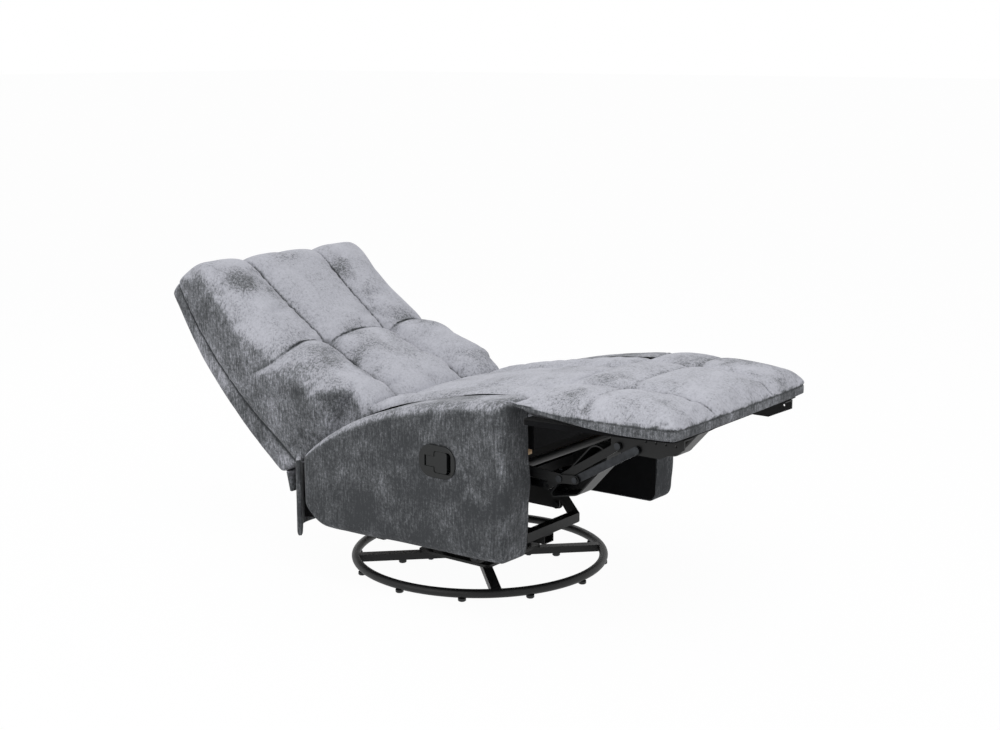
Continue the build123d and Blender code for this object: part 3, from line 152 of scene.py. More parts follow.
def block_skin(lines: tuple[Array, Array, Array]) -> tuple[Array, Array]:
    """The skin of a box as one closed mesh of quads.

    Each face is a grid over two of the three position arrays with the third held at an
    end; the corners that faces share are merged.

    Args:
        lines: positions along the three axes.

    Returns:
        Vertex rows and quads of vertex numbers, facing outwards.
    """
    corners = []
    for axis in range(3):
        a, b = (i for i in range(3) if i != axis)
        i, j = np.meshgrid(np.arange(len(lines[a]) - 1), np.arange(len(lines[b]) - 1), indexing="ij")
        for side in (0, 1):
            quad = np.zeros((*i.shape, 4, 3), int)
            quad[..., axis] = side * (len(lines[axis]) - 1)
            steps = ((0, 0), (1, 0), (1, 1), (0, 1))
            if (side == 0) != (axis == 1):
                steps = steps[::-1]
            for k, (di, dj) in enumerate(steps):
                quad[..., k, a] = i + di
                quad[..., k, b] = j + dj
            corners.append(quad.reshape(-1, 4, 3))
    lattice, index = np.unique(np.concatenate(corners).reshape(-1, 3), axis=0, return_inverse=True)
    points = np.stack([lines[k][lattice[:, k]] for k in range(3)], axis=1)
    return points, index.reshape(-1, 4)


def rounded(points: Array, half: Array, radius: Array) -> Array:
    """Rounds a box's edges: each point is drawn in to an ellipsoid round the inner box.

    Args:
        points: points on the box's skin, centred on the origin.
        half: half sizes of the box.
        radius: rounding along each axis.

    Returns:
        The moved points.
    """
    inner = np.clip(points, -(half - radius), half - radius)
    out = (points - inner) / radius
    length = np.linalg.norm(out, axis=1, keepdims=True)
    return inner + radius * out / np.maximum(length, 1e-9)


def normals_of(points: Array, quads: Array) -> Array:
    """Vertex normals: the sum of the faces' area vectors at each vertex, at unit length.

    Args:
        points: vertex rows.
        quads: faces.

    Returns:
        One unit vector for each vertex.
    """
    a, b, c, d = (points[quads[:, k]] for k in range(4))
    area = np.cross(c - a, d - b)
    out = np.zeros_like(points)
    for k in range(4):
        np.add.at(out, quads[:, k], area)
    return out / np.maximum(np.linalg.norm(out, axis=1, keepdims=True), 1e-12)


def raised(points: Array, quads: Array, height: Array) -> Array:
    """Moves each point out along its normal by its height."""
    return points + normals_of(points, quads) * height[:, None]


def ripple(points: Array, wave: float, seed: int, count: int = 14) -> Array:
    """Smooth unevenness, mostly between -1 and 1: a sum of sine waves in seeded random directions.

    Each wave is 0.6 to 1.6 times the mean one long, and the sum of n waves is divided by
    1.6 sqrt(n).

    Args:
        points: where it is wanted, in millimetres.
        wave: the mean wavelength in millimetres.
        seed: seed of the directions and phases.
        count: how many waves are added.

    Returns:
        One value for each point.
    """
    dice = np.random.default_rng(seed)
    way = dice.normal(size=(count, 3))
    way /= np.linalg.norm(way, axis=1, keepdims=True)
    step = 2 * math.pi / (wave * dice.uniform(0.6, 1.6, count))
    phase = dice.uniform(0, 2 * math.pi, count)
    waves = np.sin((points @ way.T) * step + phase)
    return waves.sum(axis=1) / math.sqrt(count) / 1.6


def make_mesh(name: str, points: Array, faces: Array, smooth: bool = True) -> bpy.types.Object:
    """Makes a mesh object from rows of points in millimetres.

    Args:
        name: name of the object and its mesh.
        points: vertex rows, measured from the swivel axis.
        faces: rows of vertex numbers.
        smooth: whether the faces are shaded smooth.

    Returns:
        The object, at the origin, with its place in its mesh.
    """
    mesh = bpy.data.meshes.new(name)
    mesh.from_pydata(placed(points), [], faces.tolist())
    mesh.polygons.foreach_set("use_smooth", np.full(len(mesh.polygons), smooth))
    mesh.update()
    made = bpy.data.objects.new(name, mesh)
    bpy.context.scene.collection.objects.link(made)
    return made


# ---------------------------------------------------------------- finishes
def linear(code: str) -> tuple[float, float, float, float]:
    """Turns an sRGB hex colour into linear light.

    Args:
        code: the colour as #rrggbb.

    Returns:
        Red, green, blue and an alpha of 1.
    """
    parts = [int(code[i : i + 2], 16) / 255 for i in (1, 3, 5)]
    out = [v / 12.92 if v <= 0.04045 else ((v + 0.055) / 1.055) ** 2.4 for v in parts]
    return (out[0], out[1], out[2], 1.0)


def add_node(tree: bpy.types.NodeTree, kind: str, settings: dict | None = None, links: dict | None = None,
             stops: tuple[tuple[float, str], ...] = (), **attributes: object) -> bpy.types.Node:
    """Adds one shader node.

    Args:
        tree: the node tree.
        kind: the shader node's type name, without its prefix.
        settings: socket name or number to its value.
        links: socket name or number to the output that feeds it.
        stops: a colour ramp's positions and hex colours.
        **attributes: properties of the node itself.

    Returns:
        The node.
    """
    node = tree.nodes.new("ShaderNode" + kind)
    for name, value in attributes.items():
        setattr(node, name, value)
    for name, value in (settings or {}).items():
        node.inputs[name].default_value = value
    for name, source in (links or {}).items():
        tree.links.new(source, node.inputs[name])
    while stops and len(node.color_ramp.elements) < len(stops):
        node.color_ramp.elements.new(0.5)
    for number, (place, code) in enumerate(stops):
        node.color_ramp.elements[number].position = place
        node.color_ramp.elements[number].color = linear(code)
    return node


@dataclass(frozen=True)
class Finish:
    """What every finish shares: its name, its shader's fixed numbers and how it starts."""

    name: str
    roughness: float = 0.5
    metallic: float = 0.0
    ior: float = 1.5
    specular: float = 0.5
    sheen: float = 0.0
    sheen_roughness: float = 0.5
    sheen_tint: str = "#ffffff"
    coat: float = 0.0
    coat_roughness: float = 0.1

    def start(self) -> tuple[bpy.types.Material, bpy.types.NodeTree, bpy.types.Node, bpy.types.NodeSocket]:
        """Makes the material with its fixed numbers set on the shader's own sockets.

        Returns:
            The material, its node tree, its shader and the object coordinates.
        """
        made = bpy.data.materials.new(self.name)
        made.use_nodes = True
        tree = made.node_tree
        shader = tree.nodes["Principled BSDF"]
        fixed = {"Metallic": self.metallic, "Roughness": self.roughness, "Specular IOR Level": self.specular,
                 "Sheen Weight": self.sheen, "Sheen Roughness": self.sheen_roughness,
                 "Sheen Tint": linear(self.sheen_tint), "Coat Weight": self.coat,
                 "Coat Roughness": self.coat_roughness}
        if self.metallic == 0.0:
            fixed["IOR"] = self.ior
        for name, value in fixed.items():
            shader.inputs[name].default_value = value
        place = add_node(tree, "TexCoord").outputs["Object"]
        return made, tree, shader, place

    def make(self) -> bpy.types.Material:
        """Makes the finished material."""
        raise NotImplementedError


@dataclass(frozen=True)
class Chenille(Finish):
    """Grey polyester chenille: a cut pile of 2 mm yarns that reads light or dark as it lies, with painted light
    and shade.

    The brushed patches are a hand's width across with a ragged, speckled edge; on upright
    faces the yarns run down as fine streaks. The pile scatters at grazing angles, which
    the sheen gives. The streaks are drawn 4 mm wide, so that they still show.

    Attributes:
        patch_mm, speckle_mm, yarn_mm: size of the brushed patches, their specks and the yarns.
        streak_mm: width and height of a streak.
        swings: how much patches, specks, streaks and yarns swing the tone.
        yarn_height, streak_height: how much yarns and streaks raise the surface.
        tones: the colours from a pile that is pressed down or in painted shade to one in painted light.
    """

    name: str = "grey_polyester_chenille"
    roughness: float = 0.92
    specular: float = 0.18
    sheen: float = 0.16
    sheen_roughness: float = 0.45
    sheen_tint: str = "#cfd0d3"
    patch_mm: float = 110.0
    speckle_mm: float = 7.0
    streak_mm: tuple[float, float] = (4.0, 26.0)
    yarn_mm: float = 2.2
    swings: tuple[float, float, float, float] = (0.95, 0.85, 0.70, 0.35)
    yarn_height: float = 0.6
    streak_height: float = 0.8
    tones: tuple[tuple[float, str], ...] = ((0.02, "#3b3d3f"), (0.26, "#56585a"), (0.46, "#7a7c80"),
                                            (0.60, "#999aa0"), (0.76, "#acadb4"), (1.0, "#b6b7be"))

    def make(self) -> bpy.types.Material:
        """Makes the chenille from object coordinates and each piece's attribute of pile tone with painted light
        and shade.

        The tone is lie plus, for each noise, its swing times (noise - 0.5).

        Returns:
            The material.
        """
        made, tree, shader, place = self.start()
        # This attribute carries painted light and shade as well as how the pile lies.
        lie_with_painted_light_and_shade = add_node(tree, "Attribute", attribute_name="lie_with_painted_light_and_shade").outputs["Fac"]
        patch = add_node(tree, "TexNoise", {"Scale": 1000 / self.patch_mm, "Detail": 3.0,
                         "Roughness": 0.6, "Distortion": 0.4}, {"Vector": place}).outputs["Fac"]
        speckle = add_node(tree, "TexNoise", {"Scale": 1000 / self.speckle_mm, "Detail": 3.0,
                           "Roughness": 0.7}, {"Vector": place}).outputs["Fac"]
        wide, long = self.streak_mm
        run = add_node(tree, "Mapping", {"Scale": (1000 / wide, 1000 / wide, 1000 / long)},
                       {"Vector": place}).outputs["Vector"]
        streak = add_node(tree, "TexNoise", {"Scale": 1.0, "Detail": 2.0, "Roughness": 0.6},
                          {"Vector": run}).outputs["Fac"]
        yarn = add_node(tree, "TexNoise", {"Scale": 1000 / self.yarn_mm, "Detail": 1.0},
                        {"Vector": place}).outputs["Fac"]
        tone = add_node(tree, "Math", {1: -0.5 * sum(self.swings)}, {0: lie_with_painted_light_and_shade},
                        operation="ADD").outputs[0]
        for noise, swing in zip((patch, speckle, streak, yarn), self.swings):
            tone = add_node(tree, "Math", {1: swing}, {0: noise, 2: tone},
                            operation="MULTIPLY_ADD").outputs[0]
        colour = add_node(tree, "ValToRGB", links={0: tone}, stops=self.tones).outputs[0]
        tree.links.new(colour, shader.inputs["Base Color"])
        height = add_node(tree, "Math", {1: self.yarn_height}, {0: yarn},
                          operation="MULTIPLY").outputs[0]
        height = add_node(tree, "Math", {1: self.streak_height}, {0: streak, 2: height},
                          operation="MULTIPLY_ADD").outputs[0]
        bump = add_node(tree, "Bump", {"Strength": 0.5, "Distance": 0.0012}, {"Height": height})
        tree.links.new(bump.outputs["Normal"], shader.inputs["Normal"])
        return made


@dataclass(frozen=True)
class PlainMix(Finish):
    """A finish whose colour drifts between two close tones, with a fine surface grain.

    Attributes:
        dark, light: the two tones.
        drift_mm: size of the drift between them.
        rough_swing: how much the roughness changes with it.
        grain_mm: size of the grain.
        grain_depth: its depth in metres.
        grain_strength: how strongly it shows.
    """

    dark: str = "#101112"
    light: str = "#1b1c1e"
    drift_mm: float = 60.0
    grain_mm: float = 1.2
    grain_depth: float = 0.0002
    grain_strength: float = 0.3
    rough_swing: float = 0.08

    def make(self) -> bpy.types.Material:
        """Makes the finish: a slow noise picks the tone and the roughness, a fine one the bump.

        Returns:
            The material.
        """
        made, tree, shader, place = self.start()
        drift = add_node(tree, "TexNoise", {"Scale": 1000 / self.drift_mm, "Detail": 4.0,
                         "Roughness": 0.6}, {"Vector": place}).outputs["Fac"]
        grain = add_node(tree, "TexNoise", {"Scale": 1000 / self.grain_mm, "Detail": 2.0},
                         {"Vector": place}).outputs["Fac"]
        colour = add_node(tree, "ValToRGB", links={0: drift},
                          stops=((0.3, self.dark), (0.7, self.light)))
        tree.links.new(colour.outputs[0], shader.inputs["Base Color"])
        rough = add_node(tree, "MapRange", {"To Min": self.roughness - self.rough_swing,
                         "To Max": self.roughness + self.rough_swing}, {"Value": drift})
        tree.links.new(rough.outputs["Result"], shader.inputs["Roughness"])
        bump = add_node(tree, "Bump", {"Strength": self.grain_strength,
                        "Distance": self.grain_depth}, {"Height": grain})
        tree.links.new(bump.outputs["Normal"], shader.inputs["Normal"])
        return made


@dataclass(frozen=True)
class Plywood(Finish):
    """Rotary-cut poplar plywood: pale, with long cathedral grain and a few darker lines.

    Attributes:
        grain_mm: spacing of the grain lines.
        along: how much the grain is drawn out from front to rear.
        tones: the wood's colours from its lines to its ground.
    """

    name: str = "poplar_plywood"
    roughness: float = 0.62
    grain_mm: float = 7.0
    along: float = 0.18
    tones: tuple[tuple[float, str], ...] = ((0.1, "#a8845a"), (0.6, "#c9a678"), (0.95, "#d8bb90"))

    def make(self) -> bpy.types.Material:
        """Makes the wood: wave bands, drawn out and bent by noise.

        Returns:
            The material.
        """
        made, tree, shader, place = self.start()
        run = add_node(tree, "Mapping", {"Scale": (1.0, self.along, 1.0)},
                       {"Vector": place}).outputs["Vector"]
        wave = add_node(tree, "TexWave", {"Scale": 1000 / self.grain_mm / 10, "Distortion": 9.0,
                        "Detail": 3.0, "Detail Scale": 1.4}, {"Vector": run}, wave_type="BANDS",
                        bands_direction="Z").outputs["Fac"]
        colour = add_node(tree, "ValToRGB", links={0: wave}, stops=self.tones)
        tree.links.new(colour.outputs[0], shader.inputs["Base Color"])
        bump = add_node(tree, "Bump", {"Strength": 0.25, "Distance": 0.0003}, {"Height": wave})
        tree.links.new(bump.outputs["Normal"], shader.inputs["Normal"])
        return made


class Slot(Enum):
    """The record's material slots."""

    CHENILLE = "grey_chenille"
    CLOTH = "black_cloth"
    WOOD = "plywood"
    LINED_WOOD = "lined_plywood"
    BLACK_STEEL = "black_steel"
    ZINC = "zinc_steel"
    SPRING = "spring_steel"
    PLASTIC = "black_plastic"


# Satin powder coat over steel: a soft highlight with slight orange peel.
POWDER_COAT = PlainMix("satin_powder_coat", roughness=0.48, specular=0.35, dark="#0a0b0b", light="#121314",
                       drift_mm=90.0, grain_mm=2.5, grain_depth=0.0003, grain_strength=0.2)
# Black-passivated zinc plate on pressed steel: dark grey with a dull, clouded shine.
ZINC_PLATE = PlainMix("black_zinc_plate", roughness=0.36, metallic=1.0, dark="#2e2f31", light="#45474a",
                      drift_mm=30.0, grain_mm=0.8, grain_depth=0.0001)
# Oil-tempered spring wire: dark grey metal, smooth along its length.
SPRING_WIRE = PlainMix("oil_tempered_wire", roughness=0.4, metallic=1.0, dark="#4b4c4e", light="#6a6c6e",
                       drift_mm=20.0, grain_mm=0.8)
# Spun-bonded black lining: matt, with a small dimpled weave of 1.6 mm.
LINING_CLOTH = PlainMix("spun_bonded_lining", roughness=0.95, specular=0.1, sheen=0.1, dark="#0b0b0c",
                        light="#131416", drift_mm=40.0, grain_mm=1.6, grain_depth=0.0005, grain_strength=0.6)
# Injection-moulded ABS with a fine spark-eroded texture.
MOULDED_ABS = PlainMix("moulded_abs", roughness=0.45, ior=1.53, specular=0.35, dark="#0f1111",
                       light="#161819", drift_mm=120.0, grain_mm=0.9, grain_depth=0.00015,
                       grain_strength=0.35)

FINISHES: dict[Slot, Finish] = {
    Slot.CHENILLE: Chenille(),
    Slot.CLOTH: LINING_CLOTH,
    Slot.WOOD: Plywood(),
    Slot.LINED_WOOD: LINING_CLOTH,
    Slot.BLACK_STEEL: POWDER_COAT,
    Slot.ZINC: ZINC_PLATE,
    Slot.SPRING: SPRING_WIRE,
    Slot.PLASTIC: MOULDED_ABS,
}


class Wardrobe:
    """Makes each material once and puts it on pieces and on carried-over nodes."""

    def __init__(self) -> None:
        """Makes every finish."""
        self.materials = {slot: finish.make() for slot, finish in FINISHES.items()}

    def dress(self, piece: bpy.types.Object, slot: Slot) -> bpy.types.Object:
        """Gives a new piece the material of its record slot.

        Args:
            piece: the new piece.
            slot: the slot that it takes its finish from.

        Returns:
            The piece.
        """
        piece.data.materials.clear()
        piece.data.materials.append(self.materials[slot])
        return piece

    def dress_nodes(self) -> None:
        """Puts the record's finish on each carried-over node through its material slots."""
        for row in FRAME["record"]["subparts"]:
            node = FRAME["nodes"][row["node"]]
            if not node.material_slots:
                node.data.materials.append(None)
            for holder in node.material_slots:
                holder.material = self.materials[Slot(row["material_slot"])]


# ---------------------------------------------------------------- quilting
@dataclass(frozen=True)
class Quilt:
    """The stuffing of a panel sewn into three columns and two rows, pulled down at two tufts.

    Attributes:
        half: half width of the panel.
        seam: x of the sewn line on the grid, before it is bent to its real course.
        course: x of that line at the panel's start, at the row of tufts and at its end.
        row_at: the share of the length where the tufts are.
        length: length of the panel in millimetres.
        crown: height of the pillows below and above the row, over the sewn lines.
        rise: how far from the row each of them reaches that height.
        side_rise: how far from a seam an outer pillow does.
        valley: how far the row sinks between the tufts, from 0 to 1.
        tuft_depth: how far a tuft is pulled below the sewn lines.
        groove: depth of the sewn line itself.
        bow: how far the row rises along the panel in the middle of each column.
        outer: height of the outer columns' pillows, as a share of the middle one's.
        fullness: how boxy a middle pillow is; 2 would be round.
        row_turn: half the way over which one row's height changes to the other's.
        tuft_width: how wide the row closes at a tuft.
        dent, eye: reach of a tuft's wide dent and of its deep middle.
        eye_depth: depth of that middle.
        folds, fold_height: count and height of the folds that run out of a tuft.
        fold_ring: how far out they are strongest, and how far they spread.
        pucker_height, pucker_wave, pucker_reach: the puckers along a seam.
    """

    half: float
    seam: float
    course: tuple[float, float, float]
    row_at: float
    length: float
    crown: tuple[float, float]
    rise: tuple[float, float] = (80.0, 60.0)
    side_rise: float = 90.0
    valley: float = 0.8
    tuft_depth: float = 10.0
    groove: float = 3.6
    bow: float = 0.0
    outer: float = 1.0
    fullness: float = 2.6
    row_turn: float = 14.0
    tuft_width: float = 40.0
    dent: float = 24.0
    eye: float = 8.0
    eye_depth: float = 5.0
    folds: int = 9
    fold_height: float = 1.5
    fold_ring: tuple[float, float] = (26.0, 16.0)
    pucker_height: float = 0.35
    pucker_wave: float = 4.3
    pucker_reach: float = 14.0

    def across(self, u: Array, t: Array) -> Array:
        """Bends the grid's own x, so that its fine lines follow the sewn ones.

        Args:
            u: place across the grid.
            t: share of the length, from 0 to 1.

        Returns:
            The place across the panel: straight from the middle to the seam and on to the edge.
        """
        line = np.interp(t, (0.0, self.row_at, 1.0), self.course)
        a = np.abs(u)
        outer = line + (a - self.seam) / (self.half - self.seam) * (self.half - line)
        return np.sign(u) * np.where(a < self.seam, a / self.seam * line, outer)

    def from_row(self, u: Array, t: Array) -> Array:
        """Distance along the panel from the row of tufts, which bows up like a half wave in each column.

        Args:
            u: place across the grid.
            t: share of the length, from 0 to 1.

        Returns:
            The distance at each point, in millimetres.
        """
        a = np.abs(u)
        share = np.where(a < self.seam, 0.5 + 0.5 * a / self.seam, (a - self.seam) / (self.half - self.seam))
        return (t - self.row_at) * self.length - self.bow * np.sin(math.pi * np.clip(share, 0.0, 1.0))

    def tuft_reach(self, u: Array, t: Array) -> Array:
        """Distance to the nearer tuft."""
        return np.hypot(np.abs(u) - self.seam, (t - self.row_at) * self.length)

    def sewn(self, u: Array) -> Array:
        """Whether a point is near enough to a sewn line, 4 mm, for the thread to hold it."""
        return np.abs(np.abs(u) - self.seam) < 4.0

    def pillow(self, u: Array, t: Array) -> Array:
        """Height of the stuffed pillows over the sewn lines.

        A pillow rises from its seams as (1 - a^fullness)^0.5, where a is the share of the
        way from its middle to a seam, and from the row like a quarter circle, which takes
        the share `valley` of it away between the tufts and all of it at them.

        Args:
            u: place across the grid.
            t: share of the length, from 0 to 1.

        Returns:
            The height at each point, in millimetres.
        """
        a = np.abs(u)
        middle = np.sqrt(1.0 - np.clip(a / self.seam, 0.0, 1.0) ** self.fullness)
        full = np.where(a < self.seam, middle, quarter((a - self.seam) / self.side_rise))
        s = self.from_row(u, t)
        low, high = self.crown
        crown = low + (high - low) * smooth_step(s, -self.row_turn, self.row_turn)
        rise = np.where(s < 0, quarter(-s / self.rise[0]), quarter(s / self.rise[1]))
        sink = self.valley + (1.0 - self.valley) * bell(a - self.seam, self.tuft_width)
        return crown * full * (1.0 - sink * (1.0 - rise)) * np.where(a < self.seam, 1.0, self.outer)

    def stitching(self, u: Array, t: Array) -> Array:
        """Depth of the sewn lines and tufts with the puckers round them.

        A line is a narrow bell-shaped groove. A tuft is a wide dent with a deep middle, and
        folds run out of it as the cosine of their count times the angle, dying away
        outwards. Puckers are a cosine along the line.

        Args:
            u: place across the grid.
            t: share of the length, from 0 to 1.

        Returns:
            The depth at each point, in millimetres.
        """
        line = np.abs(u) - self.seam
        away = self.tuft_reach(u, t)
        around = np.arctan2((t - self.row_at) * self.length, line)
        ring, spread = self.fold_ring
        folds = np.cos(self.folds * around + 1.3 * np.sign(u)) * bell(away - ring, spread)
        dent = self.tuft_depth * bell(away, self.dent) + self.eye_depth * bell(away, self.eye)
        wave = np.cos(t * self.length / self.pucker_wave + u / 31.0)
        puckers = self.pucker_height * wave * bell(line, self.pucker_reach)
        return self.groove * bell(line, 3.0) + dent - self.fold_height * folds - puckers

    def shade(self, u: Array, t: Array) -> Array:
        """How far the sewn lines, the tufts and the foot of the pillows press the pile down, with painted shade in
        these creases.

        Args:
            u: place across the grid.
            t: share of the length, from 0 to 1.

        Returns:
            A share from 0 to 1 at each point.
        """
        # Painted shade: the sewn lines, the crease between the rows and the tufts are darkened as well as pressed.
        line = bell(np.abs(u) - self.seam, 2.6)
        row = 0.35 * self.valley * bell(self.from_row(u, t), 9.0)
        return np.clip(line + row + bell(self.tuft_reach(u, t), 11.0), 0.0, 1.0)


@dataclass
class Padding:
    """A closed, padded form: a rounded box of cloth that a function bends into place.

    Attributes:
        name: name of the piece.
        body: the body that it rides on.
        stands_for: the nodes that it replaces.
        fill: how tightly it is filled; not used.
        seed: seed of its unevenness.
        lie_base_painted_shade: how light its pile lies on an upright face, painted darker there as shade.
        lie_top_painted_light: how light it lies on a face that looks up, painted lighter there as light from
            above.
        swell: the most that the cloth may move in the simulation, in millimetres.
        slack: how much larger the cloth is cut than its form.
        unevenness: height of the foam's unevenness, in millimetres.
        brushed: hand-wide places where the pile is brushed the other way: centre x, y and z,
            reach, and how much lighter or darker it lies there.
        pressure, bending, quality, frames: settings and length of the simulation.
        upright_to: upward part of a normal, below which a face counts as more or less upright.
        pressed_pile_and_painted_shade: how much darker the pile is where it is pressed down fully, with painted
            shade in seams and tufts.
        brush: strength of the brushed places.
    """

    name: str
    body: str
    stands_for: tuple[str, ...]
    fill: float
    seed: int = 1
    lie_base_painted_shade: float = 0.36
    lie_top_painted_light: float = 0.78
    swell: float = 9.0
    slack: float = 0.035
    unevenness: float = 1.3
    brushed: Patches = ()
    pressure: float = 4.0
    bending: float = 2.0
    quality: int = 5
    frames: int = 20
    upright_to: float = 0.6
    pressed_pile_and_painted_shade: float = 0.6
    brush: float = 0.62

    def finish(self, points: Array, quads: Array, wardrobe: Wardrobe, held: Array | None = None,
               depth: Array | None = None, stiff: Array | None = None,
               shade: Array | None = None) -> bpy.types.Object:
        """Puffs the form up, sews it, dresses it, lets it ride and hides the nodes that it stands for.

        The vertices move along their normals by the foam's unevenness, less the stitching.

        Args:
            points: vertex rows in millimetres.
            quads: faces.
            wardrobe: the materials.
            depth: how deep the stitching draws each vertex in after the simulation.
            stiff: the share of the unevenness that each vertex does without.
            shade: how far the pile is pressed down and darkened with painted shade at each vertex, from 0 to 1.

        Returns:
            The piece.
        """
        if held is not None:
            points = self.puffed(points, quads, held)
        normals = normals_of(points, quads)
        coarse = ripple(points, 130.0, self.seed)
        fine = ripple(points, 45.0, self.seed + 9)
        push = self.unevenness * (0.7 * coarse + 0.3 * fine)
        push = push * (1.0 - (stiff if stiff is not None else 0.0))
        push = push - (depth if depth is not None else 0.0)
        points = points + normals * push[:, None]
        piece = make_mesh(self.name, points, quads)
        # The attribute holds the pile's tone with painted light on faces that look up and painted shade on upright
        # faces and in seams.
        piece.data.attributes.new("lie_with_painted_light_and_shade", "FLOAT", "POINT").data.foreach_set(
            "value", self.lie_with_painted_light_and_shade(points, normals, 0.0 if shade is None else shade).astype(np.float32))
        wardrobe.dress(piece, Slot.CHENILLE)
        smoother = piece.modifiers.new("smooth_cloth", "SUBSURF")
        smoother.levels = smoother.render_levels = 1
        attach(piece, self.body)
        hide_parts(*self.stands_for)
        LOG.info("%s: %d faces", self.name, len(quads))
        return piece

    def puffed(self, points: Array, quads: Array, held: Array) -> Array:
        """Blows the cloth up from inside by a simulation and keeps how far each point moved.

        The cloth is cut larger than its form by `slack`, so it wrinkles where it is held.
        Each point's move m is kept as swell * tanh(m / swell).

        Args:
            points: vertex rows in millimetres.
            quads: faces.
            held: which vertices stay still.

        Returns:
            The moved vertex rows.
        """
        cloth = make_mesh(self.name + "_cloth", points, quads)
        group = cloth.vertex_groups.new(name="held")
        group.add(np.flatnonzero(held).tolist(), 1.0, "REPLACE")
        puff = cloth.modifiers.new("puff", "CLOTH")
        puff.settings.vertex_group_mass = "held"
        puff.settings.effector_weights.gravity = 0.0
        puff.settings.use_pressure = True
        puff.settings.uniform_pressure_force = self.pressure
        puff.settings.shrink_min = -self.slack
        puff.settings.bending_stiffness = self.bending
        puff.settings.quality = self.quality
        puff.point_cache.frame_start = 1
        puff.point_cache.frame_end = self.frames
        scene = bpy.context.scene
        for frame in range(1, self.frames + 1):
            scene.frame_set(frame)
        shown = cloth.evaluated_get(bpy.context.evaluated_depsgraph_get())
        out = np.empty(len(points) * 3)
        shown.data.vertices.foreach_get("co", out)
        mesh = cloth.data
        bpy.data.objects.remove(cloth)
        bpy.data.meshes.remove(mesh)
        scene.frame_set(1)
        move = out.reshape(-1, 3) / MM - placed(points) / MM
        size = np.linalg.norm(move, axis=1, keepdims=True)
        LOG.info("%s: the cloth moved %.1f mm at most, %.1f on average", self.name, size.max(), size.mean())
        capped = self.swell * np.tanh(size / self.swell)
        return points + move * np.where(size > 1e-6, capped / np.maximum(size, 1e-6), 0)

    def lie_with_painted_light_and_shade(self, points: Array, normals: Array, shade: Array | float) -> Array:
        """How light the pile lies: painted light on faces that look up, painted shade on upright ones, and pressed
        pile with painted shade in seams.

        A brushed place fades out over its reach, which seeded ripples make ragged.

        Args:
            points: vertex rows in millimetres.
            normals: their normals.
            shade: how far the pile is pressed down and darkened with painted shade, from 0 to 1.

        Returns:
            The lie at each vertex.
        """
        # Painted light and shade: faces that look up are made lighter and upright faces darker, as if lit from
        # above.
        up = smooth_step(normals[:, 2], 0.0, self.upright_to)
        out = self.lie_base_painted_shade + (self.lie_top_painted_light - self.lie_base_painted_shade) * up - self.pressed_pile_and_painted_shade * shade
        coarse = ripple(points, 75.0, self.seed + 60)
        ragged = 1.0 + 0.42 * coarse + 0.2 * ripple(points, 24.0, self.seed + 70)
        for x, y, z, reach, change in self.brushed:
            away = np.linalg.norm(points - np.array([x, y, z]), axis=1) / reach * ragged
            out = out + self.brush * change * (1.0 - smooth_step(away, 0.35, 1.45))
        return out


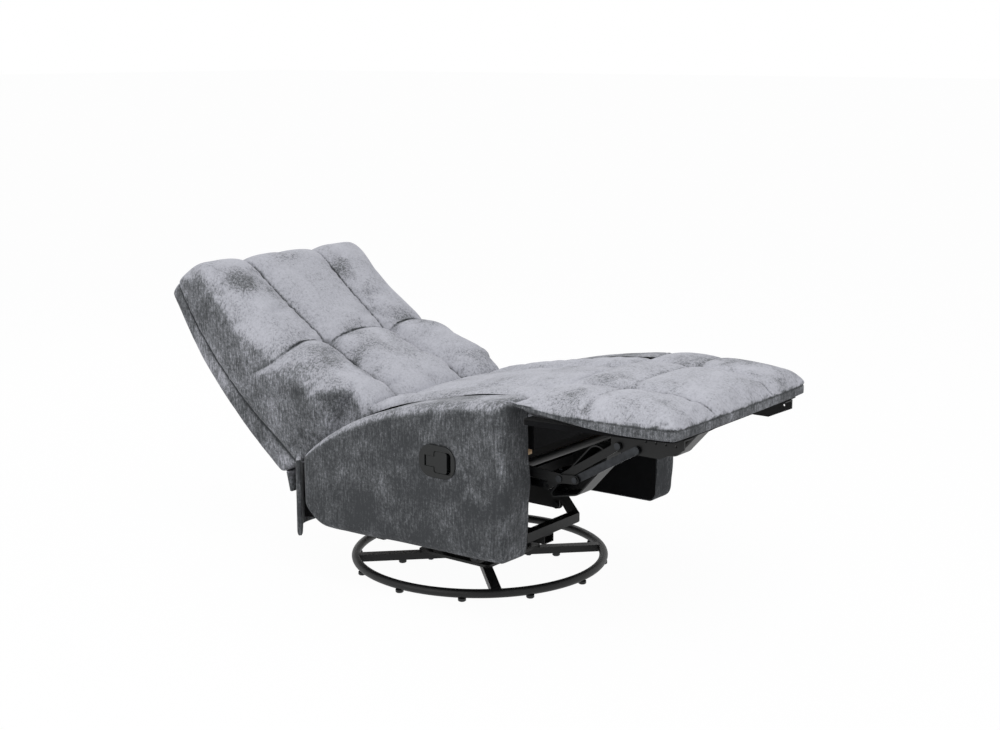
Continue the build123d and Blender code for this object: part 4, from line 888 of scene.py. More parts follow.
# ---------------------------------------------------------------- sub-assemblies
@dataclass
class Back(Padding):
    """The reclining back: a wedge with a quilted face, padded sides and a plain rear.

    Attributes:
        half_width, lower_half: half width above the arms and between them.
        thickness: depth of the grid, which is stretched from the face line to the rear line.
        border: share of that depth, from the face, where the border seam runs.
        rounding: rounding of the face's edges across, in depth and up.
        rear_rounding: rounding of the rear's edges.
        side_lift: share of the pillows' height that the sides take on.
        seam_depth: depth of the border seam.
        crest_rise: how far back and up the top swells between face and rear.
        arm_end: a point (y, z) on the line where the arms end, and the line's normal.
        face, rear: side views of the face before it is quilted and of the rear.
    """

    name: str = "back_upholstery"
    body: str = "back"
    stands_for: tuple[str, ...] = ("back_cushion",)
    fill: float = 0.75
    seed: int = 3
    half_width: float = 298.0
    lower_half: float = 276.3
    thickness: float = 250.0
    border: float = 0.79
    rounding: Place = (34.0, 34.0, 40.0)
    rear_rounding: float = 13.0
    side_lift: float = 0.34
    seam_depth: float = 3.4
    crest_rise: tuple[float, float] = (6.0, 24.0)
    arm_end: tuple[float, float, float, float] = (195.0, 457.0, 0.96, 0.28)
    brushed: Patches = (
        (-235.0, 330.0, 505.0, 105.0, -0.30), (-160.0, 250.0, 470.0, 60.0, -0.22),
        (-215.0, 610.0, 690.0, 55.0, -0.34), (-30.0, 400.0, 560.0, 42.0, -0.22),
        (160.0, 600.0, 680.0, 38.0, -0.34), (140.0, 520.0, 640.0, 36.0, -0.28),
        (210.0, 420.0, 560.0, 48.0, -0.26), (250.0, 330.0, 510.0, 40.0, -0.22),
        (90.0, 330.0, 520.0, 34.0, -0.14), (-255.0, 470.0, 590.0, 60.0, 0.10),
    )
    face: Course = Course(((147.0, 405.0), (180.0, 430.0), (348.0, 503.0), (526.0, 615.0), (668.0, 726.0)))
    rear: Course = Course(((415.0, 224.0), (542.0, 327.0), (714.0, 514.0), (805.0, 656.0)))
    quilt: Quilt = Quilt(half=298.0, seam=124.0, course=(150.0, 117.0, 134.0), row_at=0.47, length=600.0,
                         crown=(40.0, 16.0), rise=(85.0, 55.0), side_rise=95.0, valley=0.92,
                         tuft_depth=15.0, bow=15.0)

    def build(self, wardrobe: Wardrobe) -> None:
        """Builds the wedge.

        A box over (x, depth, length) is rounded, then depth blends from the rear line to
        the face line and length runs up both; the lower corners are drawn in to clear the
        arms, and the quilting lifts the face and, less, the sides up to the border seam.

        Args:
            wardrobe: the materials.
        """
        quilt = self.quilt
        half = np.array([self.half_width, self.thickness / 2, quilt.length / 2])
        row = (quilt.row_at - 0.5) * quilt.length
        border_y = (0.5 - self.border) * self.thickness
        flat, quads = block_skin((
            graded(-half[0], half[0], 8.0, (-quilt.seam, quilt.seam), fine=2.2, reach=14.0),
            graded(-half[1], half[1], 9.0, (border_y,), fine=2.0, reach=8.0),
            graded(-half[2], half[2], 8.0, (row,), fine=3.5, reach=30.0),
        ))
        quads = quads[:, ::-1]
        soft = rounded(flat, half, self.edge_rounding(flat, half))
        u = soft[:, 0]
        share = np.clip(0.5 - soft[:, 1] / self.thickness, 0.0, 1.0)
        t = np.clip(soft[:, 2] / quilt.length + 0.5, 0.0, 1.0)
        side = (1 - share)[:, None] * self.face.at(t) + share[:, None] * self.rear.at(t)
        side = side + self.crest(share, t, u)
        points = np.column_stack([quilt.across(u, t), side])
        free = self.free_of_arms(points)
        drawn_in = self.lower_half / self.half_width
        points[:, 0] *= drawn_in + (1 - drawn_in) * free
        flank = smooth_step(np.abs(u), half[0] - 0.7 * self.rounding[0], half[0])
        faced = 1.0 - smooth_step(share, 0.10, self.border - 0.05)
        lift = faced * quilt.pillow(u, t) * (1.0 - flank * (1.0 - self.side_lift * free))
        points = raised(points, quads, lift)
        over_crest = (t > 0.9) * (1.0 - smooth_step(share, self.border - 0.06, self.border))
        sewing = np.maximum(1.0 - smooth_step(share, 0.35, 0.55), over_crest)
        seam = np.abs(share - self.border) * self.thickness
        skirt = np.maximum(np.abs(flat[:, 0]) > half[0] - 1.0, flat[:, 2] > half[2] - 1.0)
        depth = quilt.stitching(u, t) * sewing * (1.0 - 0.6 * flank)
        depth = depth + self.seam_depth * bell(seam, 4.0) * skirt
        held = quilt.sewn(u) & (share < 0.5)
        held = held | (quilt.tuft_reach(u, t) < 14.0) & (share < 0.3)
        held = held | (share > self.border - 0.02) | (free < 0.98) & (flank > 0.2) | (t < 0.03)
        # Painted shade in the quilting and along the border seam, darkening the pressed pile.
        shade = np.maximum(quilt.shade(u, t) * sewing, 0.8 * bell(seam, 3.0) * skirt)
        self.finish(points, quads, wardrobe, held, depth, 0.6 * (1.0 - free), shade)

    def edge_rounding(self, flat: Array, half: Array) -> Array:
        """Rounding at each point: the rear's, growing to the face's away from the foot.

        Args:
            flat: points on the box's skin.
            half: half sizes of the box.

        Returns:
            The rounding along each axis for each point.
        """
        up = smooth_step(flat[:, 2:3], -half[2], 80.0 - half[2])
        toward_face = smooth_step(flat[:, 1:2], -50.0, 50.0) * up
        toward_face = np.maximum(toward_face, 0.35 * (flat[:, 1:2] > 0))
        return self.rear_rounding + (np.array(self.rounding) - self.rear_rounding) * toward_face

    def crest(self, share: Array, t: Array, u: Array) -> Array:
        """Raises the top between face and rear into a soft crest that dips at the seams.

        It is a half sine over the depth to the power 0.8, lower by a quarter at the seams.

        Args:
            share: share of the depth from the face.
            t: share of the length.
            u: place across the grid.

        Returns:
            How far each point moves in y and z.
        """
        top = smooth_step(t, 0.86, 1.0) * np.sin(math.pi * np.clip(share, 0, 1)) ** 0.8
        dip = 1.0 - 0.25 * bell(np.abs(u) - self.quilt.seam, 22.0)
        return (top * dip)[:, None] * np.array([self.crest_rise])

    def free_of_arms(self, points: Array) -> Array:
        """How free each point is of the arms: 0 between them, 1 above the line where they end.

        Args:
            points: vertex rows.

        Returns:
            The share for each point, from 6 mm below the line to 26 mm above it.
        """
        y, z, normal_y, normal_z = self.arm_end
        along = normal_y * (points[:, 1] - y) + normal_z * (points[:, 2] - z)
        return smooth_step(along, -6.0, 26.0)


@dataclass
class Seat(Padding):
    """The seat cushion, sewn into three columns that run to the front edge.

    Attributes:
        half_width, thickness: sizes of the grid.
        rounding: rounding of its edges across, along and up.
        rear_slope: how far from the rear end the pillows sink.
        top, under: side views of its top, before it is quilted, and of its underside.
    """

    name: str = "seat_upholstery"
    body: str = "chair_body"
    stands_for: tuple[str, ...] = ("seat_cushion",)
    fill: float = 0.7
    seed: int = 5
    swell: float = 7.0
    half_width: float = 276.6
    thickness: float = 60.0
    rounding: Place = (16.0, 22.0, 20.0)
    rear_slope: float = 90.0
    top: Course = Course(((-354.0, 515.0), (-284.0, 511.0), (-172.0, 493.0), (-121.0, 485.0), (139.0, 430.0)))
    under: Course = Course(((-352.0, 471.0), (116.0, 400.0)))
    quilt: Quilt = Quilt(half=276.6, seam=152.0, course=(154.0, 152.0, 150.0), row_at=-1.0, length=480.0,
                         crown=(14.0, 13.0), side_rise=60.0, valley=0.0, tuft_depth=0.0)

    def build(self, wardrobe: Wardrobe) -> None:
        """Builds the cushion: a rounded box laid between its top and underside lines.

        Args:
            wardrobe: the materials.
        """
        quilt = self.quilt
        half = np.array([self.half_width, quilt.length / 2, self.thickness / 2])
        flat, quads = block_skin((
            graded(-half[0], half[0], 8.0, (-quilt.seam, quilt.seam), fine=2.2, reach=12.0),
            graded(-half[1], half[1], 9.0),
            graded(-half[2], half[2], 7.0),
        ))
        soft = rounded(flat, half, np.array(self.rounding))
        u = soft[:, 0]
        t = soft[:, 1] / quilt.length + 0.5
        share = soft[:, 2] / self.thickness + 0.5
        side = share[:, None] * self.top.at(t) + (1 - share)[:, None] * self.under.at(t)
        points = np.column_stack([u, side])
        faced = smooth_step(share, 0.45, 0.9)
        flank = smooth_step(np.abs(u), half[0] - self.rounding[0], half[0])
        ends = quarter((1 - t) * quilt.length / self.rear_slope)
        points = raised(points, quads, faced * quilt.pillow(u, t) * (1.0 - flank) * ends)
        depth = faced * quilt.stitching(u, t)
        # Painted shade along the sewn lines, darkening the pressed pile.
        shade = faced * quilt.shade(u, t)
        held = quilt.sewn(u) & (share > 0.4) | (flank > 0.1) | (share < 0.2) | (t > 0.93)
        self.finish(points, quads, wardrobe, held, depth, flank, shade)


@dataclass
class Footrest(Padding):
    """The footrest pad: a tufted top over an edge band, thinning to a lip at its rear corners.

    Attributes:
        rear_y, front_y: its ends.
        thickness: height of the grid.
        rounding: rounding of its edges.
        plan: shares of the length from the front, and the half width at each.
        nose: how far the front's corners are drawn back.
        top: side view of its top, before it is quilted.
        under: height of its underside.
        band: height of the upright band under the edge seam.
        dome: how far from the edge the top reaches its full height.
        lip, lip_from: how far the underside rises at the rear corners, and from which y.
        rear_lift: how far it rises in the middle of the rear edge.
        welt_depth: depth of the edge seam.
    """

    name: str = "footrest_upholstery"
    body: str = "footrest"
    stands_for: tuple[str, ...] = ("footrest_pad",)
    fill: float = 0.65
    seed: int = 7
    swell: float = 6.0
    # Upright faces are painted a little darker as shade.
    lie_base_painted_shade: float = 0.30
    brushed: Patches = (
        (255.0, -640.0, 535.0, 75.0, -0.34), (200.0, -500.0, 545.0, 48.0, -0.30),
        (235.0, -730.0, 520.0, 60.0, -0.26), (-290.0, -480.0, 525.0, 50.0, -0.22),
        (-240.0, -600.0, 530.0, 44.0, -0.18), (-120.0, -450.0, 545.0, 46.0, -0.24),
        (20.0, -430.0, 548.0, 52.0, -0.16), (-80.0, -660.0, 545.0, 38.0, -0.10),
    )
    rear_y: float = -364.0
    front_y: float = -757.0
    thickness: float = 60.0
    rounding: float = 9.0
    plan: tuple[tuple[float, ...], tuple[float, ...]] = ((0.0, 0.07, 0.5, 0.93, 1.0),
                                                         (302.0, 308.0, 336.0, 355.0, 357.0))
    nose: float = 6.0
    top: Course = Course(((-757.0, 520.0), (-742.0, 531.0), (-690.0, 538.0), (-541.0, 542.0),
                          (-430.0, 538.0), (-364.0, 527.0)))
    under: float = 484.3
    band: float = 25.0
    dome: float = 120.0
    lip: float = 38.0
    lip_from: float = -665.0
    rear_lift: float = 12.0
    welt_depth: float = 2.6
    quilt: Quilt = Quilt(half=357.0, seam=156.0, course=(155.0, 156.0, 157.0), row_at=0.55, length=393.0,
                         crown=(17.0, 15.0), rise=(75.0, 65.0), side_rise=75.0, valley=0.8,
                         tuft_depth=9.0, bow=8.0, outer=0.6)

    def build(self, wardrobe: Wardrobe) -> None:
        """Builds the pad.

        A rounded box over (x, length, depth) takes its width from the tapering plan and its
        underside from the board. An upright band runs round its edge to a seam; inside it
        the top rises to the side view's line like a quarter circle.

        Args:
            wardrobe: the materials.
        """
        quilt = self.quilt
        half = np.array([quilt.half, quilt.length / 2, self.thickness / 2])
        row = (quilt.row_at - 0.5) * quilt.length
        seams = (-half[0], -quilt.seam, quilt.seam, half[0])
        flat, quads = block_skin((
            graded(-half[0], half[0], 8.0, seams, fine=2.2, reach=12.0),
            graded(-half[1], half[1], 8.0, (-half[1], row), fine=3.0, reach=20.0),
            graded(-half[2], half[2], 4.0),
        ))
        soft = rounded(flat, half, np.full(3, self.rounding))
        u = soft[:, 0]
        t = np.clip(soft[:, 1] / quilt.length + 0.5, 0.0, 1.0)
        share = soft[:, 2] / self.thickness + 0.5
        reach = np.abs(u) / quilt.half
        front = 1.0 - smooth_step(t, 0.0, 0.25)
        y = self.front_y + (self.rear_y - self.front_y) * t + self.nose * front * reach**4
        width = np.interp(t, *self.plan) / quilt.half
        inward = np.minimum((1.0 - reach) * quilt.half, t * quilt.length)
        lift_off = self.lift_off(y, reach)
        middle = 1.0 - smooth_step(reach, 0.80, 1.0)
        lower = self.under + lift_off + self.rear_lift * smooth_step(t, 0.93, 1.0) * middle
        edge_top = np.maximum(self.under + self.band, lower + 8.0)
        dome = quarter((inward + 1.0) / self.dome)
        upper = edge_top + (np.maximum(self.top.at(t)[:, 1], edge_top) - edge_top) * dome
        z = share * upper + (1 - share) * lower
        points = np.column_stack([quilt.across(u, t) * width, y, z])
        faced = smooth_step(share, 0.80, 0.97)
        rim = quarter(inward / 80.0) * quarter((1.0 - t) * quilt.length / 70.0)
        points = raised(points, quads, faced * quilt.pillow(u, t) * rim)
        edge = np.maximum(np.abs(flat[:, 0]) > half[0] - 1.0, flat[:, 1] < -half[1] + 1.0)
        below_top = soft[:, 2] - half[2] + self.rounding
        welt = bell(below_top, 4.0) * edge * (1.0 - 0.6 * smooth_step(lift_off, 10.0, self.lip))
        sewing = faced * np.minimum(1.0, rim + 0.35)
        depth = sewing * quilt.stitching(u, t) + self.welt_depth * welt
        held = quilt.sewn(u) & (share > 0.5)
        held = held | (quilt.tuft_reach(u, t) < 12.0) & (share > 0.5) | (share < 0.9)
        # Painted shade in the quilting and along the edge welt, darkening the pressed pile.
        shade = np.maximum(sewing * quilt.shade(u, t), 0.6 * welt)
        self.finish(points, quads, wardrobe, held, depth, 1.0 - rim, shade)

    def lift_off(self, y: Array, reach: Array) -> Array:
        """Lifts the underside to a lip towards the rear corners.

        It rises as (distance / whole distance)^1.6 from `lip_from` to the rear end, over
        the outer fifth of the width.

        Args:
            y: place along the chair.
            reach: share of the half width.

        Returns:
            The lift at each point.
        """
        run = self.rear_y - self.lip_from
        flank = smooth_step(reach, 0.80, 1.0)
        return self.lip * np.clip((y - self.lip_from) / run, 0.0, 1.0) ** 1.6 * flank


@dataclass
class Arm(Padding):
    """One upholstered arm: a rounded side, a soft top roll and a flat inner face.

    It is firm, so no simulation puffs it up.

    Attributes:
        side: 1 on +X, -1 on -X.
        inner, outer: x of its faces; front, rear: y of its ends.
        height: height of the grid.
        rounding: rounding of its edges across, along and up.
        swelling: how far its outer face swells.
        front_seam, seam_depth, seam_width: place, depth and reach of the front panel's seam.
        handle: whether it carries the handle.
        handle_at, handle_half, handle_depth: centre (y, z), half sizes and depth of the cup.
        squareness: power of the cup's rounded outline; 2 would be an ellipse.
        top, under: side views of its top and underside.
    """

    side: int = 1
    fill: float = 0.7
    # The arm's upright outer face is painted dark as shade and its top roll painted light.
    lie_base_painted_shade: float = 0.09
    lie_top_painted_light: float = 0.53
    unevenness: float = 1.0
    inner: float = 280.6
    outer: float = 380.0
    front: float = -358.0
    rear: float = 266.0
    height: float = 330.0
    rounding: Place = (26.0, 20.0, 26.0)
    swelling: float = 3.0
    front_seam: float = 24.0
    seam_depth: float = 1.8
    seam_width: float = 3.2
    handle: bool = False
    handle_at: tuple[float, float] = (-172.0, 367.5)
    handle_half: tuple[float, float] = (47.0, 32.5)
    handle_depth: float = 26.0
    squareness: float = 2.4
    top: Course = Course(((-360.0, 531.0), (-250.0, 518.0), (-130.0, 499.0), (25.0, 460.0), (120.0, 423.0),
                          (177.0, 392.0), (225.0, 356.0), (267.0, 311.0)))
    under: Course = Course(((-360.0, 149.0), (-80.0, 145.0), (150.0, 138.5), (200.0, 137.5), (235.0, 142.0),
                            (257.0, 158.0), (267.0, 192.0)))

    def build(self, wardrobe: Wardrobe) -> None:
        """Builds the arm: a rounded box between the arm's top and underside lines.

        The outer face swells by a low crown, the front panel is sewn on just behind the
        corner, and an arm with a handle is pressed in where the handle's plate sits.

        Args:
            wardrobe: the materials.
        """
        length = self.rear - self.front
        width = self.outer - self.inner
        half = np.array([width / 2, length / 2, self.height / 2])
        radius = np.array(self.rounding)
        seam_y = -half[1] + self.front_seam
        plate_y = self.handle_at[0] - self.front - half[1]
        reach = self.handle_half[0]
        near = (seam_y, plate_y - reach, plate_y + reach) if self.handle else (seam_y,)
        tall = (-22.0, 48.0) if self.handle else ()
        flat, quads = block_skin((
            graded(-half[0], half[0], 7.0),
            graded(-half[1], half[1], 8.0, near, fine=2.5, reach=9.0),
            graded(-half[2], half[2], 8.0, tall, fine=2.5, reach=16.0),
        ))
        inside = flat[:, 0] <= -half[0] + 1e-6
        outer_half = np.array([[radius[0] - half[0], -1e3, -1e3]])
        soft = rounded(np.maximum(flat, outer_half), half, radius)
        soft[:, 0] = np.where(flat[:, 0] < radius[0] - half[0], flat[:, 0], soft[:, 0])
        u = soft[:, 0]
        t = soft[:, 1] / length + 0.5
        share = soft[:, 2] / self.height + 0.5
        upper, lower = self.top.at(t)[:, 1], self.under.at(t)[:, 1]
        y = self.front + length * t + self.wave(share) * (1.0 - smooth_step(t, 0.0, 0.08))
        points = np.column_stack([self.inner + width / 2 + u, y, lower + share * (upper - lower)])
        outward = smooth_step(u, half[0] - radius[0], half[0])
        crown = np.clip(4 * t * (1 - t), 0, 1) ** 0.5 * np.clip(4 * share * (1 - share), 0, 1) ** 0.5
        points = raised(points, quads, (self.swelling * crown - self.swelling) * outward)
        sewn_on = smooth_step(u, half[0] - 34.0, half[0] - 20.0)
        seam = bell(soft[:, 1] - seam_y, self.seam_width) * sewn_on
        pressed = self.pressed(points) * outward if self.handle else np.zeros_like(t)
        stiff = np.where(inside, 1.0, np.minimum(1.0, 3 * pressed))
        if self.handle:
            points[:, 0] -= pressed * self.press_depth(points)
        if self.side < 0:
            points[:, 0] *= -1
            quads = quads[:, ::-1]
        # The front seam is painted slightly darker, as shade in its groove.
        self.finish(points, quads, wardrobe, depth=self.seam_depth * seam, stiff=stiff, shade=0.2 * seam)

    def wave(self, share: Array) -> Array:
        """The front edge's slight in-and-out wave up its height: two sines."""
        return 3.5 * np.sin(9.0 * share + 0.6) + 1.5 * np.sin(23.0 * share)

    def from_handle(self, points: Array) -> Array:
        """How many plate sizes a point is from the handle's centre.

        Args:
            points: vertex rows.

        Returns:
            (|y|^n + |z|^n)^(1 / n) in half sizes for each point: 1 on the cup's outline.
        """
        y = (points[:, 1] - self.handle_at[0]) / self.handle_half[0]
        z = (points[:, 2] - self.handle_at[1]) / self.handle_half[1]
        return (np.abs(y) ** self.squareness + np.abs(z) ** self.squareness) ** (1 / self.squareness)

    def pressed(self, points: Array) -> Array:
        """1 under the handle's plate, fading out round it."""
        return 1.0 - smooth_step(self.from_handle(points), 1.15, 1.6)

    def press_depth(self, points: Array) -> Array:
        """How deep the handle's cup presses the padding in."""
        return self.handle_depth * (1.0 - smooth_step(self.from_handle(points), 0.99, 1.06))


@dataclass
class FlatPanel(Padding):
    """A thin cloth-covered panel.

    Attributes:
        half_thick: half its thickness.
    """

    unevenness: float = 0.5
    half_thick: float = 7.0


@dataclass
class Fascia(FlatPanel):
    """The cloth-covered board that closes the chair behind and wraps round the arms' rear.

    Attributes:
        bottom, crown: z of its lower edge and of its highest point.
        corner: half the length over which a corner is rounded.
        line: half its plan, from one end to the middle.
        under_back: a point (y, z) under the back and the fall of z with y there.
    """

    name: str = "fascia_upholstery"
    body: str = "chair_body"
    stands_for: tuple[str, ...] = ("rear_fascia",)
    fill: float = 0.9
    seed: int = 17
    # The upright board is painted dark as shade.
    lie_base_painted_shade: float = 0.12
    bottom: float = 104.6
    crown: float = 300.0
    corner: float = 26.0
    line: tuple[tuple[float, float], ...] = ((375.2, 275.5), (295.6, 350.9), (0.0, 350.9))
    under_back: Place = (158.0, 409.0, 0.7704)

    def build(self, wardrobe: Wardrobe) -> None:
        """Builds the board: a rounded rectangle carried along the plan's line.

        The board's top follows the underside of the back.

        Args:
            wardrobe: the materials.
        """
        along, path = self.path()
        ahead = np.gradient(path, axis=0)
        ahead /= np.linalg.norm(ahead, axis=1, keepdims=True)
        out = np.column_stack([-ahead[:, 1], ahead[:, 0]])
        flat, quads = block_skin((
            np.arange(len(along), dtype=float),
            graded(-1.0, 1.0, 0.25),
            graded(self.bottom, self.crown, 9.0, (self.bottom, self.crown), fine=2.5, reach=8.0),
        ))
        i = flat[:, 0].astype(int)
        end = np.minimum(along, along[-1] - along)[i]
        edge = np.minimum(flat[:, 2] - self.bottom, self.crown - flat[:, 2])
        thick = self.half_thick * quarter((np.minimum(edge, end) + 1.2) / 9.0)
        centre = path[i] + out[i] * (flat[:, 1] * thick)[:, None]
        y, z, fall = self.under_back
        slope = np.minimum(self.crown, z - fall * (centre[:, 1] - y))
        z = self.bottom + (flat[:, 2] - self.bottom) / (self.crown - self.bottom) * (slope - self.bottom)
        points = np.column_stack([centre, z])
        a, b, c = (points[quads[:, k]] for k in range(3))
        if np.einsum("ij,ij->i", a, np.cross(b, c)).sum() < 0:
            quads = quads[:, ::-1]
        self.finish(points, quads, wardrobe)

    def path(self) -> tuple[Array, Array]:
        """The plan's line from end to end, with its corners rounded.

        Each point is the average of the line over the corner's length, which shrinks
        towards the ends like a quarter circle.

        Returns:
            Distances along the line, and x and y at each.
        """
        plan = np.array(self.line)
        plan = np.vstack([plan * [-1, 1], plan[-2::-1]])
        run = np.r_[0.0, np.cumsum(np.linalg.norm(np.diff(plan, axis=0), axis=1))]
        along = graded(0.0, run[-1], 9.0, (0.0, run[-1]), fine=3.0, reach=12.0)
        spread = np.linspace(-self.corner, self.corner, 41)
        room = quarter(np.minimum(along, run[-1] - along) / self.corner)
        near = np.clip(along, 0.0, run[-1])[:, None] + spread * room[:, None]
        return along, np.stack([np.interp(near, run, plan[:, k]).mean(axis=1) for k in (0, 1)], axis=1)


@dataclass
class Flap(FlatPanel):
    """The padded flap that closes the back's lower edge.

    Attributes:
        half_width: half its width.
        length: its length up the line.
        line: side view of its middle.
    """

    name: str = "flap_upholstery"
    body: str = "back"
    stands_for: tuple[str, ...] = ("back_lower_flap",)
    fill: float = 0.8
    seed: int = 19
    # The flap is painted dark as shade.
    lie_base_painted_shade: float = 0.10
    half_thick: float = 5.6
    half_width: float = 285.5
    length: float = 52.0
    line: Course = Course(((392.5, 178.6), (398.0, 204.0), (404.5, 229.4)))

    def build(self, wardrobe: Wardrobe) -> None:
        """Builds the flap: a thin rounded strip across the chair, from its foot up its line.

        Args:
            wardrobe: the materials.
        """
        half = self.half_width
        flat, quads = block_skin((
            graded(-half, half, 12.0, (-half, half), fine=3.0, reach=12.0),
            graded(-1.0, 1.0, 0.4),
            graded(0.0, self.length, 5.0, (0.0, self.length), fine=2.0, reach=5.0),
        ))
        end = np.minimum(half - np.abs(flat[:, 0]), np.minimum(flat[:, 2], self.length - flat[:, 2]))
        thick = self.half_thick * quarter((end + 1.0) / 6.0)
        side = self.line.at(flat[:, 2] / self.length)
        points = np.column_stack([flat[:, 0], side[:, 0] + flat[:, 1] * thick, side[:, 1]])
        self.finish(points, quads, wardrobe)


@dataclass
class RearPanel(FlatPanel):
    """The cloth stretched over the back's frame behind the border seam.

    Attributes:
        half_width: half its width.
        line: side view of its middle.
        inward: the direction, in y and z, from its outer to its inner face.
    """

    name: str = "rear_panel_upholstery"
    body: str = "back"
    stands_for: tuple[str, ...] = ("back_rear_panel",)
    fill: float = 0.9
    seed: int = 23
    # The rear panel is painted darker as shade.
    lie_base_painted_shade: float = 0.20
    half_width: float = 278.0
    half_thick: float = 1.4
    line: Course = Course(((412.5, 225.6), (539.6, 329.4), (711.4, 515.8), (792.0, 641.5)))
    inward: tuple[float, float] = (-0.80, 0.60)

    def build(self, wardrobe: Wardrobe) -> None:
        """Builds the panel: a thin sheet from edge to edge that follows the back's rear line.

        Args:
            wardrobe: the materials.
        """
        flat, quads = block_skin((
            graded(-self.half_width, self.half_width, 14.0),
            np.array([-1.0, 0.0, 1.0]),
            graded(0.0, 1.0, 0.02),
        ))
        sheer = np.array(self.inward) * (flat[:, 1] * self.half_thick)[:, None]
        points = np.column_stack([flat[:, 0], self.line.at(flat[:, 2]) - sheer])
        self.finish(points, quads, wardrobe)


@dataclass
class Chair:
    """The whole chair's new pieces, built in order.

    Attributes:
        right_arm_brushed: the brushed places on the arm with the handle.
    """

    right_arm_brushed: Patches = (
        (-380.0, -250.0, 430.0, 85.0, 0.20), (-380.0, -180.0, 340.0, 70.0, 0.16),
        (-380.0, -60.0, 440.0, 70.0, 0.10), (-380.0, -300.0, 345.0, 60.0, 0.14),
        (-380.0, 120.0, 370.0, 50.0, 0.10), (-380.0, -330.0, 230.0, 50.0, 0.08),
    )

    def build(self, wardrobe: Wardrobe) -> None:
        """Builds the padded pieces, which report themselves as they are finished.

        Args:
            wardrobe: the materials.
        """
        left = Arm("left_arm_upholstery", "chair_body", ("left_arm_pad",), seed=11, side=1)
        right = Arm("right_arm_upholstery", "chair_body", ("right_arm_pad",), seed=13, side=-1, handle=True,
                    brushed=self.right_arm_brushed)
        for piece in (Back(), Seat(), Footrest(), left, right, Fascia(), Flap(), RearPanel()):
            piece.build(wardrobe)


# ---------------------------------------------------------------- studio
@dataclass(frozen=True)
class Lamp:
    """One softbox: where it stands, its size and its power."""

    name: str
    place: Place
    size: float
    watts: float


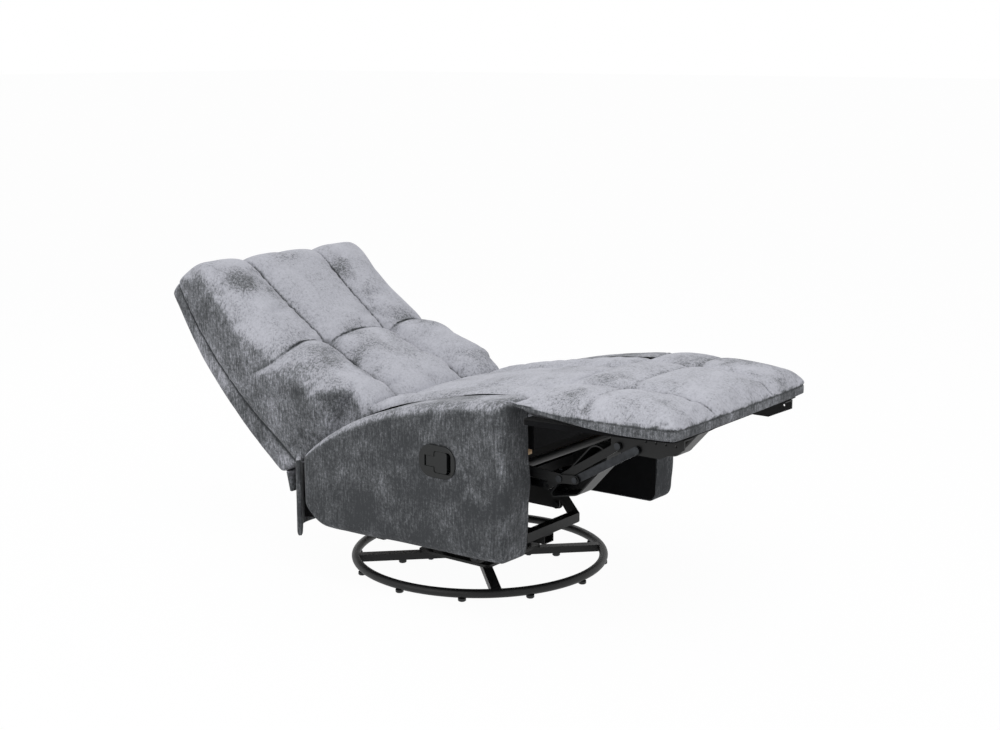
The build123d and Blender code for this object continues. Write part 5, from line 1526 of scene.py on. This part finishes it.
@dataclass(frozen=True)
class Studio:
    """A white cyclorama floor, soft boxes and the camera, in metres.

    Attributes:
        camera_at, aim_at: where the camera stands and looks, from the swivel axis.
        lens, sensor: its focal length and film width in millimetres.
        lamps, lamps_aim: the softboxes and the point that they face.
        sky, sky_strength: the world's colour and strength.
        floor_reach, floor_colour: half the floor's side in millimetres and its colour.
        floor_glow: the share of plain white that the camera sees on the floor.
    """

    camera_at: Place = (-3.0886, -2.3956, 1.3015)
    aim_at: Place = (0.0, -0.0648, 0.5192)
    lens: float = 56.9
    sensor: float = 36.0
    lamps: tuple[Lamp, ...] = (
        Lamp("key_softbox", (-1.2, -1.6, 3.4), 2.6, 62.0),
        Lamp("fill_softbox", (-3.4, 0.6, 1.6), 2.2, 22.0),
        Lamp("rim_softbox", (1.8, 2.4, 2.8), 2.2, 34.0),
    )
    lamps_aim: Place = (0.0, 0.0, 0.45)
    sky: str = "#f2f2f4"
    sky_strength: float = 0.62
    floor_reach: float = 60000.0
    floor_colour: str = "#f4f4f5"
    floor_glow: float = 0.965

    def build(self) -> None:
        """Builds floor, world, lamps and camera."""
        self.build_floor()
        self.build_world()
        for lamp in self.lamps:
            light = bpy.data.lights.new(lamp.name, "AREA")
            light.shape = "SQUARE"
            light.size = lamp.size
            light.energy = lamp.watts
            self.stand(lamp.name, light, lamp.place, self.lamps_aim)
        lens = bpy.data.cameras.new("camera")
        lens.lens = self.lens
        lens.sensor_width = self.sensor
        camera = self.stand("camera", lens, self.camera_at, self.aim_at)
        camera.location[1] += SWIVEL_AT[1]
        bpy.context.scene.camera = camera
        bpy.context.scene.view_settings.view_transform = "Standard"

    def build_floor(self) -> None:
        """A wide floor that the camera sees as white while it keeps the chair's shadow."""
        corners = self.floor_reach * np.array([[-1, -1, 0], [1, -1, 0], [1, 1, 0], [-1, 1, 0]], float)
        floor = make_mesh("studio_floor", corners, np.array([[0, 1, 2, 3]]), smooth=False)
        matt = bpy.data.materials.new("matt_white_floor")
        matt.use_nodes = True
        tree = matt.node_tree
        shader = tree.nodes["Principled BSDF"]
        shader.inputs["Base Color"].default_value = linear(self.floor_colour)
        shader.inputs["Roughness"].default_value = 0.9
        glow = add_node(tree, "Emission", {"Color": (1, 1, 1, 1), "Strength": 1.0})
        seen, _ = self.seen(tree)
        share = add_node(tree, "Math", {1: self.floor_glow}, {0: seen}, operation="MULTIPLY")
        mix = add_node(tree, "MixShader", links={0: share.outputs[0], 1: shader.outputs[0],
                       2: glow.outputs[0]})
        tree.links.new(mix.outputs[0], tree.nodes["Material Output"].inputs["Surface"])
        floor.data.materials.append(matt)

    def build_world(self) -> None:
        """An even sky for the light, and plain white for camera, glossy and transmitted rays."""
        world = bpy.data.worlds.new("studio")
        bpy.context.scene.world = world
        world.use_nodes = True
        tree = world.node_tree
        back = tree.nodes["Background"]
        back.inputs["Color"].default_value = linear(self.sky)
        back.inputs["Strength"].default_value = self.sky_strength
        white = add_node(tree, "Background", {"Color": (1, 1, 1, 1), "Strength": 1.0})
        seen, path = self.seen(tree)
        seen = add_node(tree, "Math", links={0: seen, 1: path.outputs["Is Transmission Ray"]},
                        operation="MAXIMUM")
        mix = add_node(tree, "MixShader", links={0: seen.outputs[0], 1: back.outputs[0],
                       2: white.outputs[0]})
        tree.links.new(mix.outputs[0], tree.nodes["World Output"].inputs["Surface"])

    @staticmethod
    def seen(tree: bpy.types.NodeTree) -> tuple[bpy.types.NodeSocket, bpy.types.Node]:
        """Tells camera and glossy rays from the ones that light the chair.

        Args:
            tree: the node tree.

        Returns:
            An output that is 1 for those rays and 0 for others, and the Light Path node.
        """
        path = add_node(tree, "LightPath")
        seen = add_node(tree, "Math", links={0: path.outputs["Is Camera Ray"],
                        1: path.outputs["Is Glossy Ray"]}, operation="MAXIMUM")
        return seen.outputs[0], path

    @staticmethod
    def stand(name: str, data: bpy.types.ID, place: Place, target: Place) -> bpy.types.Object:
        """Stands a lamp or the camera at a place, its -Z to a target and its +Y upwards.

        Args:
            name: name of the object.
            data: the lamp's or camera's data.
            place: where it stands.
            target: what it is turned to.

        Returns:
            The object.
        """
        made = bpy.data.objects.new(name, data)
        bpy.context.scene.collection.objects.link(made)
        dx, dy, dz = (b - a for a, b in zip(place, target))
        made.location = place
        made.rotation_euler = (math.atan2(math.hypot(dx, dy), -dz), 0.0, math.atan2(dy, dx) - math.pi / 2)
        return made


def main() -> None:
    """Dresses the carried-over nodes, builds the new pieces and sets up the studio."""
    logging.basicConfig(level=logging.INFO, format="%(name)s %(message)s")
    wardrobe = Wardrobe()
    wardrobe.dress_nodes()
    Chair().build(wardrobe)
    Studio().build()


if __name__ == "__main__":
    main()
